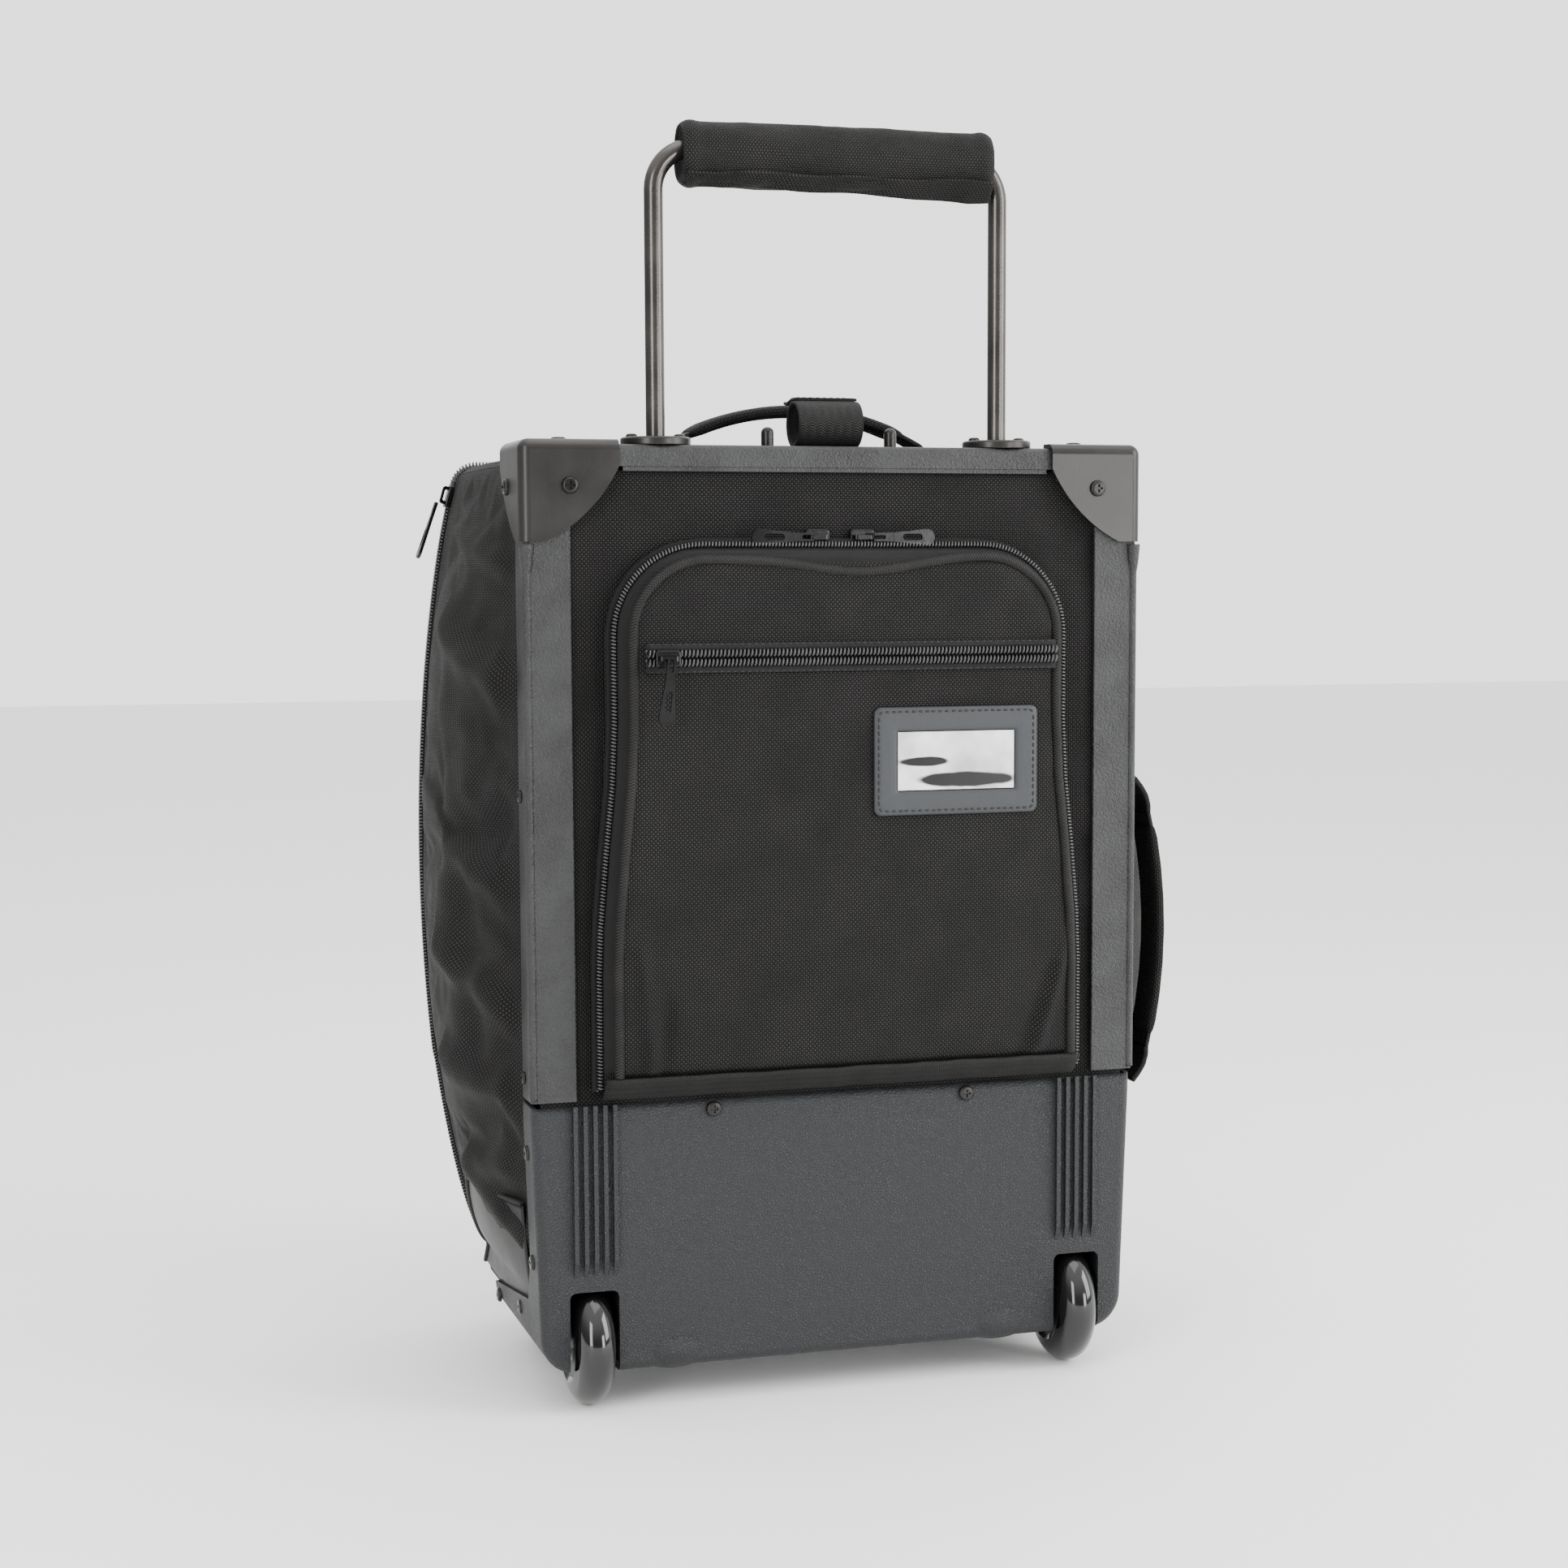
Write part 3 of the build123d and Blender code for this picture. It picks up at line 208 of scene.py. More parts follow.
def ribbed(name, dark, light, rib, depth=0.0003, sheen=0.02):
    """Woven webbing or tape: fine ribs across its length with a slight herringbone, and painted shade in the
    grooves between the ribs.
    """
    m = Nodes(name)
    split = m.add("SeparateXYZ", {0: m.cloth_place(1 / rib)})
    lean = m.math("ABSOLUTE", m.math("SINE", m.math("MULTIPLY", split.outputs[1], math.pi / 4)))
    wave = m.math("SINE", m.math("MULTIPLY", m.math("ADD", split.outputs[0], lean), math.pi))
    height = m.math("ABSOLUTE", wave)
    cloud = m.noise(60.0, 4.0)
    # painted shade: the grooves between the ribs are painted darker, times a random cloud
    shade_and_tone = m.math("MULTIPLY", m.ramp(height, 0.1, 1.0, 0.15, 1.0), m.ramp(cloud, 0.3, 0.7, 0.5, 1.0))
    m.set(Base_Color=m.mix(shade_and_tone, dark, light), Roughness=0.6, Sheen_Weight=sheen, Sheen_Roughness=0.4,
          Specular_IOR_Level=0.22)
    m.bump(height, depth)
    return m.mat


WARM = (1.0, 0.94, 0.88)
COOL = (0.88, 0.97, 1.08)
SLATE = (0.97, 1.0, 1.03)
powder = painted("powder_coat", grey(0.006, SLATE), grey(0.018, SLATE), 0.0, 0.36, 0.46, 900.0, 0.0008)
bracket_metal = painted("bracket_enamel", grey(0.016, WARM), grey(0.022, WARM), 0.4, 0.28, 0.35, 700.0,
                        0.00004)
screw_metal = painted("screw_black", grey(0.010, WARM), grey(0.02, WARM), 0.5, 0.25, 0.35, 900.0, 0.00006)
tray_plastic = pebbled("tray_pebble", grey(0.003, COOL), grey(0.0155, COOL), 620.0, 0.0003, 0.46)
inner_plastic = painted("inner_plastic", grey(0.004), grey(0.007), 0.0, 0.5, 0.65, 500.0, 0.0001)
tyre_black = painted("tyre_gloss", grey(0.002), grey(0.004), 0.0, 0.1, 0.16, 60.0, 0.00006, 0.4)
hub_plastic = painted("hub_plastic", grey(0.012), grey(0.022), 0.0, 0.3, 0.42, 300.0, 0.00008)
steel = painted("steel", grey(0.4), grey(0.55), 1.0, 0.22, 0.36, 500.0, 0.00003)
handle_metal = painted("handle_satin", grey(0.06, WARM), grey(0.08, WARM), 0.85, 0.22, 0.3, 1200.0, 0.00003)
board_plastic = painted("board_plastic", grey(0.04), grey(0.06), 0.0, 0.5, 0.62, 200.0, 0.0002)
foot_plastic = painted("foot_plastic", grey(0.012), grey(0.022), 0.0, 0.45, 0.6, 420.0, 0.0002)
zip_enamel = painted("zip_enamel", grey(0.002), grey(0.004), 0.0, 0.16, 0.24, 300.0, 0.00004, level=0.3)
coil_gloss = painted("coil_gloss", grey(0.008), grey(0.016), 0.0, 0.1, 0.18, 900.0, 0.00002, 0.5)
vinyl = painted("vinyl_guard", grey(0.003), grey(0.005), 0.0, 0.42, 0.5, 500.0, 0.00008, level=0.25)
nylon = woven("ballistic_nylon", grey(0.0006, WARM), grey(0.034, WARM), 1.25 * MM, 0.0005)
grip_nylon = woven("grip_nylon", grey(0.0006, WARM), grey(0.034, WARM), 1.0 * MM, 0.0004)
webbing = ribbed("webbing", grey(0.0012), grey(0.010, WARM), 1.3 * MM)
tape = ribbed("zip_tape", grey(0.001), grey(0.006), 0.55 * MM, 0.00012)
braid = ribbed("piping_braid", grey(0.0006), grey(0.018, WARM), 1.6 * MM, 0.0005)
thread = painted("thread", grey(0.03, WARM), grey(0.07, WARM), 0.0, 0.5, 0.6, 3000.0, 0.00004)
dark_thread = painted("dark_thread", grey(0.003), grey(0.008), 0.0, 0.45, 0.6, 3000.0, 0.00004)
leather = pebbled("id_leather", grey(0.016, COOL), grey(0.030, COOL), 1500.0, 0.00005, 0.36)
clear = Nodes("clear_vinyl")
# milky vinyl that lies close to the card: its milky white is a painted reflection, glare painted into an
# almost opaque colour, left out along two long dark see-through ripples
spread = clear.add("TexCoord").outputs["Generated"]
ripple = clear.math("MULTIPLY", clear.noise(60.0, 2.0), 0.5)
glare_mask = None
for middle, stretch in (((0.23, 0.5, 0.49), (4.8, 0.0, 12.0)), ((0.57, 0.5, 0.17), (2.45, 0.0, 7.7))):
    offset = clear.add("VectorMath", {0: spread, 1: middle}, operation="SUBTRACT").outputs[0]
    scaled = clear.add("VectorMath", {0: offset, 1: stretch}, operation="MULTIPLY").outputs[0]
    radius = clear.add("VectorMath", {0: scaled}, operation="LENGTH").outputs[1]
    away = clear.ramp(clear.math("ADD", radius, ripple), 1.15, 1.35)
    glare_mask = away if glare_mask is None else clear.math("MULTIPLY", glare_mask, away)
# painted reflection: the glare's cloudy milky white
painted_glare = clear.mix(clear.ramp(clear.noise(38.0, 2.0), 0.35, 0.65), grey(0.45), grey(0.85))
clear.set(Base_Color=clear.mix(glare_mask, grey(0.01), painted_glare), Transmission_Weight=0.1, IOR=1.4, Roughness=0.22,
          Specular_IOR_Level=0.15)
clear = clear.mat

HARD = {
    powder: ("top_bar", "left_upright", "right_upright", "latch_plate"),
    bracket_metal: ("left_corner_bracket", "right_corner_bracket", "rod_flanges"),
    screw_metal: ("bracket_screws", "frame_screws", "tray_screws", "flange_screws", "left_latch",
                  "right_latch"),
    tray_plastic: ("scuff_tray",),
    inner_plastic: ("left_wheel_housing", "right_wheel_housing", "latch_anchor", "rod_stops"),
    tyre_black: ("left_tyre", "right_tyre"),
    hub_plastic: ("left_hub", "right_hub"),
    steel: ("left_bearings", "right_bearings", "left_axle", "right_axle", "left_latch_spring",
            "right_latch_spring"),
    handle_metal: ("handle_tube", "guide_tubes"),
    foot_plastic: ("front_feet",),
    board_plastic: ("rear_board", "base_board"),
    zip_enamel: ("main_slider", "main_pull", "left_pocket_slider", "right_pocket_slider", "left_pocket_pull",
                 "right_pocket_pull", "cross_slider", "cross_pull"),
    clear: ("id_window",),
}
for material, names in HARD.items():
    for name in names:
        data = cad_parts[name].data
        data.materials.clear()
        data.materials.append(material)


# ---- shape helpers --------------------------------------------------------------------
def swell(z, most):
    """How far the soft body bulges past the frame at a height."""
    share = np.clip((np.asarray(z, float) - SWELL_LOW) / (SWELL_HIGH - SWELL_LOW), 0, 1)
    return most * np.sin(np.pi * share) ** 0.6


def tuck(z):
    """Half the body's width at its root: straight above the tray, tapered inside it."""
    z = np.asarray(z, float)
    return np.where(z > TRAY_TOP, BODY_HALF,
                    TRAY_HALF - (TRAY_TOP - z) * TRAY_TAPER / (TRAY_TOP - TRAY_BOTTOM))


def make(name, points, faces, material, body, cloth=None):
    """A mesh piece from points in millimetres, with its cloth coordinates in metres, riding on a body."""
    mesh = bpy.data.meshes.new(name)
    mesh.from_pydata([tuple(p) for p in np.asarray(points, float) * MM], [], [tuple(f) for f in faces])
    if cloth is not None:
        layer = mesh.uv_layers.new(name="cloth")
        loops = np.array([loop.vertex_index for loop in mesh.loops])
        layer.data.foreach_set("uv", (np.asarray(cloth, float) * MM)[loops].astype(np.float32).ravel())
    mesh.materials.append(material)
    mesh.polygons.foreach_set("use_smooth", [True] * len(mesh.polygons))
    piece = bpy.data.objects.new(name, mesh)
    bpy.context.scene.collection.objects.link(piece)
    if body:
        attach(piece, body)
    return piece


def grid_faces(rows, cols, wrap=False, drop=None):
    faces = []
    for i in range(rows - 1):
        for j in range(cols if wrap else cols - 1):
            k = (j + 1) % cols
            if drop is None or not drop[i, j]:
                faces.append((i * cols + j, i * cols + k, (i + 1) * cols + k, (i + 1) * cols + j))
    return faces


def thicken(piece, thickness):
    """Gives a sheet its thickness in millimetres, behind its outer face."""
    mod = piece.modifiers.new("thickness", "SOLIDIFY")
    mod.thickness, mod.offset = thickness * MM, -1.0
    mod.use_even_offset = False


def bake(piece):
    """Applies a piece's modifiers to its mesh."""
    graph = bpy.context.evaluated_depsgraph_get()
    mesh = bpy.data.meshes.new_from_object(piece.evaluated_get(graph), preserve_all_data_layers=True,
                                           depsgraph=graph)
    piece.modifiers.clear()
    piece.data = mesh


def wander(points, size, amount, seed=0.0):
    """Smooth noise at each point, in millimetres."""
    return np.array([amount * noise.noise(Vector((p[0] / size + seed, p[1] / size, p[2] / size - seed)))
                     for p in points])


def frames(path, hint=(0, 1, 0)):
    """Tangents, sides and normals along a path."""
    path = np.asarray(path, float)
    tangent = np.gradient(path, axis=0)
    tangent /= np.linalg.norm(tangent, axis=1)[:, None]
    hint = np.broadcast_to(np.asarray(hint, float), path.shape)
    side = np.cross(tangent, hint)
    side /= np.linalg.norm(side, axis=1)[:, None]
    return tangent, side, np.cross(side, tangent)


def resample(path, step):
    path = np.asarray(path, float)
    length = np.r_[0, np.cumsum(np.linalg.norm(np.diff(path, axis=0), axis=1))]
    marks = np.linspace(0, length[-1], max(3, int(length[-1] / step) + 1))
    return np.stack([np.interp(marks, length, path[:, k]) for k in range(3)], 1), marks


def sweep(name, path, section, material, body, hint=(0, 1, 0), step=3.0, scale=None):
    """A closed section, (side, normal) in millimetres, swept along a path, with capped ends."""
    path, marks = resample(path, step)
    _, side, normal = frames(path, hint)
    section = np.asarray(section, float)
    grow = np.ones((len(path), 2)) if scale is None else np.asarray([scale(m / marks[-1]) for m in marks])
    rings = (path[:, None] + side[:, None] * (section[None, :, 0] * grow[:, :1])[..., None]
             + normal[:, None] * (section[None, :, 1] * grow[:, 1:])[..., None])
    count = len(section)
    around = np.r_[0, np.cumsum(np.linalg.norm(np.diff(section, axis=0), axis=1))]
    cloth = np.stack(np.broadcast_arrays(marks[:, None], around[None, :]), -1).reshape(-1, 2)
    faces = grid_faces(len(path), count, wrap=True)
    faces += [tuple(range(count))[::-1], tuple((len(path) - 1) * count + k for k in range(count))]
    return make(name, rings.reshape(-1, 3), faces, material, body, cloth)


def oval(half_w, half_h, count=24, square=2.6):
    """A superellipse section."""
    angle = np.linspace(0, 2 * np.pi, count, endpoint=False)
    c, s = np.cos(angle), np.sin(angle)
    return np.stack([half_w * np.sign(c) * np.abs(c) ** (2 / square),
                     half_h * np.sign(s) * np.abs(s) ** (2 / square)], 1)


def coil(name, path, half_w, half_h, pitch, wire, body):
    """A zip's continuous coil: one flattened helix of nylon wire along a path."""
    step = pitch / TURN_POINTS
    path, marks = resample(path, step)
    _, side, normal = frames(path)
    angle = marks / pitch * 2 * np.pi
    spine = path + side * (half_w * np.cos(angle))[:, None] + normal * (half_h * np.sin(angle))[:, None]
    return sweep(name, spine, oval(wire, wire, 5, 2), coil_gloss, body, step=step)


def stitches(name, paths, body, material=None, width=0.45, out=(0, -1, 0)):
    """Rows of raised stitches along paths that lie on the cloth's surface."""
    points, faces = [], []
    profile = np.array([(-1, 0.0), (-0.8, 0.75), (0, 1.0), (0.8, 0.75), (1, 0.0)])
    sides = 6
    for path in paths:
        path, marks = resample(path, 0.5)
        tangent, side, normal = frames(path, out)
        for start in np.arange(STITCH_GAP, marks[-1] - STITCH, STITCH + STITCH_GAP):
            k = int(np.searchsorted(marks, start + STITCH / 2))
            base = len(points)
            for along, size in profile:
                for a in range(sides):
                    turn = a / sides * 2 * math.pi
                    points.append(path[k] + tangent[k] * along * STITCH / 2
                                  + side[k] * math.cos(turn) * width * size
                                  + normal[k] * math.sin(turn) * width * 0.75 * size)
            faces += [tuple(base + i * sides + v for v in (a, (a + 1) % sides))
                      + tuple(base + (i + 1) * sides + v for v in ((a + 1) % sides, a))
                      for i in range(4) for a in range(sides)]
    return make(name, points, faces, material or dark_thread, body)


def distance_to(points, outline):
    """Distance in a plane from each point to an outline's segments."""
    a, b = outline[:-1], outline[1:]
    best = np.full(len(points), 1e9)
    for p, q in zip(a, b):
        d = q - p
        t = np.clip(((points - p) @ d) / max(d @ d, 1e-9), 0, 1)
        best = np.minimum(best, np.linalg.norm(points - (p + t[:, None] * d), axis=1))
    return best


def ridge(points, start, end, width, height):
    """A soft fold along a line on a surface given by two coordinates."""
    start, end = np.asarray(start, float), np.asarray(end, float)
    d = end - start
    t = ((points - start) @ d) / (d @ d)
    off = np.linalg.norm(points - (start + np.clip(t, 0, 1)[:, None] * d), axis=1)
    fade = np.clip(np.minimum(t + 0.25, 1.25 - t) * 3, 0, 1)
    return height * np.exp(-(off / width) ** 2) * fade


def crumple(piece, pinned, shrink, cap):
    """Runs cloth on a piece whose border is sewn down, then keeps the result within a cap."""
    rest = np.array([v.co for v in piece.data.vertices])
    group = piece.vertex_groups.new(name="sewn")
    for index, weight in enumerate(pinned):
        if weight > 0:
            group.add([index], float(weight), "REPLACE")
    mod = piece.modifiers.new("cloth", "CLOTH")
    cloth = mod.settings
    cloth.quality, cloth.mass = 5, 0.25
    cloth.tension_stiffness = cloth.compression_stiffness = 18
    cloth.shear_stiffness, cloth.bending_stiffness = 9, 0.9
    cloth.vertex_group_mass = "sewn"
    cloth.shrink_min = -shrink
    cloth.effector_weights.gravity = 0.0
    mod.collision_settings.use_collision = False
    mod.collision_settings.use_self_collision = False
    scene = bpy.context.scene
    for step in range(1, CLOTH_FRAMES + 1):
        scene.frame_set(step)
    graph = bpy.context.evaluated_depsgraph_get()
    moved = np.array([v.co for v in piece.evaluated_get(graph).data.vertices])
    shift = moved - rest
    far = np.linalg.norm(shift, axis=1)
    shift *= (cap * MM * np.tanh(far / (cap * MM)) / np.maximum(far, 1e-9))[:, None]
    piece.modifiers.clear()
    piece.vertex_groups.clear()
    piece.data.vertices.foreach_set("co", (rest + shift).astype(np.float32).ravel())
    piece.data.update()
    scene.frame_set(1)


# ---- side panels ----------------------------------------------------------------------
FOLDS = {
    -1: (((-60, 470), (70, 505), 9, 3.5), ((-62, 400), (40, 455), 11, 4.0), ((-60, 330), (60, 300), 12, -4.0),
         ((-62, 285), (50, 340), 10, 4.0), ((-60, 220), (20, 260), 10, 4.5), ((-55, 170), (75, 215), 12, 4.5),
         ((-58, 130), (60, 120), 10, 4.0), ((-50, 95), (70, 160), 9, 3.5), ((20, 70), (85, 100), 8, 3.0),
         ((70, 250), (88, 400), 8, -2.5), ((-30, 200), (-20, 300), 9, -3.0)),
    1: (((-60, 480), (60, 500), 10, 3.5), ((-58, 420), (70, 440), 12, 3.5), ((-20, 340), (80, 300), 11, 4.0),
        ((-20, 160), (70, 200), 11, 4.0), ((-55, 140), (60, 130), 10, 4.0), ((-50, 95), (70, 105), 9, 3.5),
        ((10, 240), (80, 250), 12, 3.0)),
}


def side_surface(s, v, z):
    """Outer side surface: v runs 0 at the frame to 1 at the zip."""
    y = BACK_Y + (ZIP_Y - BACK_Y) * v
    root = tuck(z) - 0.4
    middle, front = root + 0.1 + swell(z, SIDE_BULGE), root + swell(z, ZIP_SWELL)
    t = (8 - BACK_Y) / (ZIP_Y - BACK_Y)
    a = ((front - root) - (middle - root) / t) / (1 - t)
    x = root + a * v * (v - t) + (middle - root) / t * v
    return np.stack([s * x, y, z], -1)


rows, cols = 118, 42
for side, s in SIDES:
    z, v = np.meshgrid(np.linspace(PANEL_LOW, PANEL_TOP, rows), np.linspace(0, 1, cols), indexing="ij")
    points = side_surface(s, v, z).reshape(-1, 3)
    flat = points[:, 1:]
    z, v = z.ravel(), v.ravel()
    rim = np.minimum.reduce([v * 10, (1 - v) * 12, (z - PANEL_LOW) / 18, (PANEL_TOP - z) / 14])
    rim = np.clip(rim, 0, 1)
    out = sum(ridge(flat, *f) for f in FOLDS[s])
    out = out + wander(points, 42.0, 2.2, 3.0 * s) + wander(points, 15.0, 0.8, 9.0)
    # folds stay low towards the zip, where the cloth also sits back a little
    out = np.where(v > 0.45, np.minimum(out, 0.6), out * 1.7)
    out -= ZIP_SET_BACK * np.sin(np.pi * np.clip((v - 0.4) / 0.6, 0, 1))
    points[:, 0] += s * out * rim * 0.9
    if s > 0:
        # the fabric swells out behind the side handle
        near = np.exp(-((flat[:, 0] + 2) / 23) ** 2 - ((flat[:, 1] - 246) / 98) ** 4)
        points[:, 0] += HANDLE_SWELL * rim * near
    cloth = np.stack([points[:, 1] - BACK_Y, points[:, 2]], 1)
    faces = grid_faces(rows, cols) if s > 0 else [f[::-1] for f in grid_faces(rows, cols)]
    panel = make(f"{side}_panel_cloth", points, faces, nylon, None, cloth)
    crumple(panel, np.where(v > 0.8, 1.0, rim < 0.5), 0.04, cap=4.5)
    thicken(panel, 2.0)
    mod = panel.modifiers.new("smooth", "SUBSURF")
    mod.levels = mod.render_levels = 1
    bake(panel)
    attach(panel, "case")
    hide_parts(f"{side}_panel")
    # the sewn-down hem beside the frame, and a glossy guard above the skirt
    hem_z = np.linspace(176, 521, 80)
    hem = np.stack([np.full(80, s * (FRAME_HALF - 4.6)), np.full(80, -66.0), hem_z], 1)
    sweep(f"{side}_hem_binding", hem, oval(2.2, 3.4, 14), braid, "case", hint=(s, 0, 0), step=4)

    gz, gv = np.meshgrid(np.linspace(GUARD_LOW, GUARD_TOP, 22), np.linspace(0, 1, 30), indexing="ij")
    reach = 0.06 + gv * (0.92 - 0.42 * (gz - GUARD_LOW) / (GUARD_TOP - GUARD_LOW))
    guard = side_surface(s, reach, gz).reshape(-1, 3)
    guard[:, 0] += s * (2.4 + 0.6 * np.sin(gv.ravel() * np.pi))
    order = grid_faces(22, 30)
    piece = make(f"{side}_corner_guard", guard, [f[::-1] for f in order] if s < 0 else order, vinyl, "case",
                 guard[:, 1:])
    thicken(piece, 1.2)
    edge = np.r_[side_surface(s, np.linspace(0.06, 0.56, 20), np.full(20, GUARD_TOP + 1)),
                 side_surface(s, np.linspace(0.56, 0.98, 30), np.linspace(GUARD_TOP, GUARD_LOW, 30))]
    edge[:, 0] += s * 2.6
    sweep(f"{side}_guard_piping", edge, oval(1.5, 1.5, 8, 2), braid, "case", hint=(s, 0, 0))

# the uprights' rolled corner, with its collar under the bracket
for side, s in SIDES:
    bead = np.stack([np.full(150, s * 176.6), np.full(150, -93.6),
                     np.linspace(BEAD_TOP, BEAD_LOW, 150)], 1)
    sweep(f"{side}_upright_bead", bead, oval(2.5, 2.5, 16, 2), powder, "case", step=2.0,
          scale=lambda share: (1.0 + 0.75 * max(0.0, 1 - share * (BEAD_TOP - BEAD_LOW) / 15) ** 0.6,) * 2)

# ---- rear panel -----------------------------------------------------------------------
rows, cols = 96, 70
z, x = np.meshgrid(np.linspace(46, REAR_TOP, rows), np.linspace(-1, 1, cols), indexing="ij")
half = np.where(z > TRAY_TOP, 172.6, tuck(z) - 1.2)
points = np.stack([x * half, np.full_like(x, REAR_Y), z], -1).reshape(-1, 3)
rim = np.clip(np.minimum((1 - np.abs(x.ravel())) * 12, (REAR_TOP - z.ravel()) / 10), 0, 1)
away = np.abs(points[:, 0]) - 133
top_row = (points[:, 2] > 520) & (np.abs(points[:, 0]) > 124)
points[top_row, 2] = REAR_WING_TOP
points[:, 1] += rim * (0.6 + wander(points, 26.0, 1.3) + wander(points, 9.0, 0.4))
points[:, 1] += 1.4 * np.exp(-(away / 7) ** 2) * (points[:, 2] > 180)
centre_z = (z[:-1, :-1] + z[1:, 1:]) / 2
centre_x = (x[:-1, :-1] + x[1:, 1:]) / 2 * half[:-1, :-1]
drop = (centre_z < NOTCH_TOP + 3) & (np.abs(centre_x) > NOTCH_X - 3)
rear = make("rear_panel_cloth", points, grid_faces(rows, cols, drop=drop), nylon, "case",
            points[:, [0, 2]])
thicken(rear, 2.4)
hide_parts("rear_panel")

# ---- rear pocket ----------------------------------------------------------------------
def pocket_edge(inset=0.0):
    """The pocket's outline, from its lower left corner over the top to its lower right."""
    top, low, corner = POCKET_TOP - inset, POCKET_LOW + inset, 48.0 - inset
    right_side = [(x - inset, z) for x, z in
                  ((139.0, low), (139.0, 245.0), (138.0, 272.0), (134.5, 312.0), (130.6, 350.0),
                   (129.0, 384.0), (129.0, top - corner))]
    arc = [(129 - inset - corner + corner * math.cos(a), top - corner + corner * math.sin(a))
           for a in np.linspace(0, math.pi / 2, 14)[1:]]
    half_line = np.array(right_side + arc + [(0.0, top)])
    return np.r_[half_line * (-1, 1), half_line[::-1][1:]]


outline = pocket_edge()
closed = np.r_[outline, outline[:1]]
rows, cols = 120, 104
levels = POCKET_LOW + (POCKET_TOP - POCKET_LOW) * (1 - (1 - np.linspace(0, 1, rows)) ** 1.15)
right_half = outline[len(outline) // 2:][::-1]
reach = np.interp(levels, right_half[:, 1], right_half[:, 0])
reach[-1] = 81.0
spread = np.sin(np.linspace(-1, 1, cols) * math.pi / 2 * 0.94) / math.sin(math.pi / 2 * 0.94)
z = np.repeat(levels[:, None], cols, 1)
x = spread[None, :] * reach[:, None]
flat = np.stack([x, z], -1).reshape(-1, 2)
deep = distance_to(flat, closed)
lift = np.interp(deep, (0, 2, 6, 8, 13, 60), (0.2, 1.6, 3.2, 7.4, 8.6, 9.6))
PLEATS = (((-119, 262), (-112, 186), 4.0, 3.2), ((134, 262), (110, 186), 4.5, 3.4),
          ((-104, 232), (-106, 186), 4.0, -2.6), ((122, 240), (100, 186), 5.0, -2.4),
          ((-60, 200), (40, 196), 7.0, 1.2), ((-120, 440), (-70, 470), 9.0, 1.4),
          ((84, 470), (122, 430), 9.0, 1.2), ((-110, 300), (-60, 340), 14.0, 1.0))
puff = sum(ridge(flat, *p) for p in PLEATS)
solid = np.stack([flat[:, 0], np.zeros(len(flat)), flat[:, 1]], 1)
puff = puff + wander(solid, 55.0, 1.8) + wander(solid, 17.0, 0.7, 4.0)
# under the zip and the identity frame the flap stays flat
off_zip = np.clip(np.abs(flat[:, 1] - CROSS_Z) / 9 - 0.9, 0, 1)
off_frame = np.maximum(np.abs(flat[:, 0] - ID_X) / 49 - 1, np.abs(flat[:, 1] - 360.7) / 31 - 1)
flat_zone = off_zip * np.clip(off_frame * 6, 0, 1)
depth_y = lift + puff * np.clip(deep / 14, 0, 1) * flat_zone
depth_y = np.where(flat_zone < 1, np.minimum(depth_y, 9.4 * flat_zone * 0.06 + 9.2), depth_y)
points = np.stack([flat[:, 0], SEAM_Y - 0.5 - depth_y, flat[:, 1]], 1)
flap = make("pocket_flap_cloth", points, grid_faces(rows, cols), nylon, "pocket_flap",
            flat)
flap.data.materials.append(tape)
for face in flap.data.polygons:
    face.material_index = int(deep[list(face.vertices)].min() < 6.5 and face.center.z > 0.192)
thicken(flap, 1.8)
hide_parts("pocket_flap")


def on_rear(line, y):
    """A line of (x, z) points, upright in the plane at y."""
    return np.stack([line[:, 0], np.full(len(line), y), line[:, 1]], 1)


# the border behind the zip, the piping, the coil of the zip and its tape
border = sweep("pocket_border_cloth", on_rear(pocket_edge(1.0), -96.6), oval(1.0, 4.3, 12, 6), tape, "case")
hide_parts("pocket_border")
piping = on_rear(pocket_edge(6.2), -108.2)
piping, _ = resample(piping, 3.0)
piping[:, 0] += 1.2
high = np.clip((piping[:, 2] - 440) / 30, 0, 1)
# its top sags between the two sliders and stands up a little at their right
dip = np.exp(-((piping[:, 0] - 6) / 40) ** 2)
piping[:, 2] += high * (1.5 * np.exp(-((piping[:, 0] - 74) / 26) ** 2) - 7.0 * dip)
piping[:, 1] -= 1.2 * dip * high
sweep("pocket_piping", piping, oval(2.8, 2.8, 12, 2), braid, "pocket_flap")
coil("pocket_zip_coil", on_rear(pocket_edge(-1.6), -100.4), 1.7, 1.7, 1.9, 0.7, "case")
sweep("pocket_zip_tape", on_rear(pocket_edge(-2.6), -94.4), oval(2.6, 2.2, 12, 3), tape, "case")

# the binding band along the flap's hinge
band_x = np.linspace(-139, 139, 70)
ring = np.array([(-96.0, 176.5), (-99.4, 178.0), (-102.4, 180.6), (-104.6, 183.6), (-107.6, 186.4),
                 (-110.6, 189.6)])
band = np.array([(x, y + 0.35 * math.sin(x * 0.31), z + 0.5 * noise.noise(Vector((x * 0.05, 0, 0))))
                 for y, z in ring for x in band_x])
hinge = make("pocket_hinge_band", band, grid_faces(len(ring), len(band_x)), webbing, None,
             np.array([(x, 4.0 * k) for k in range(len(ring)) for x in band_x]))
thicken(hinge, 1.2)
bake(hinge)
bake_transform(hinge)

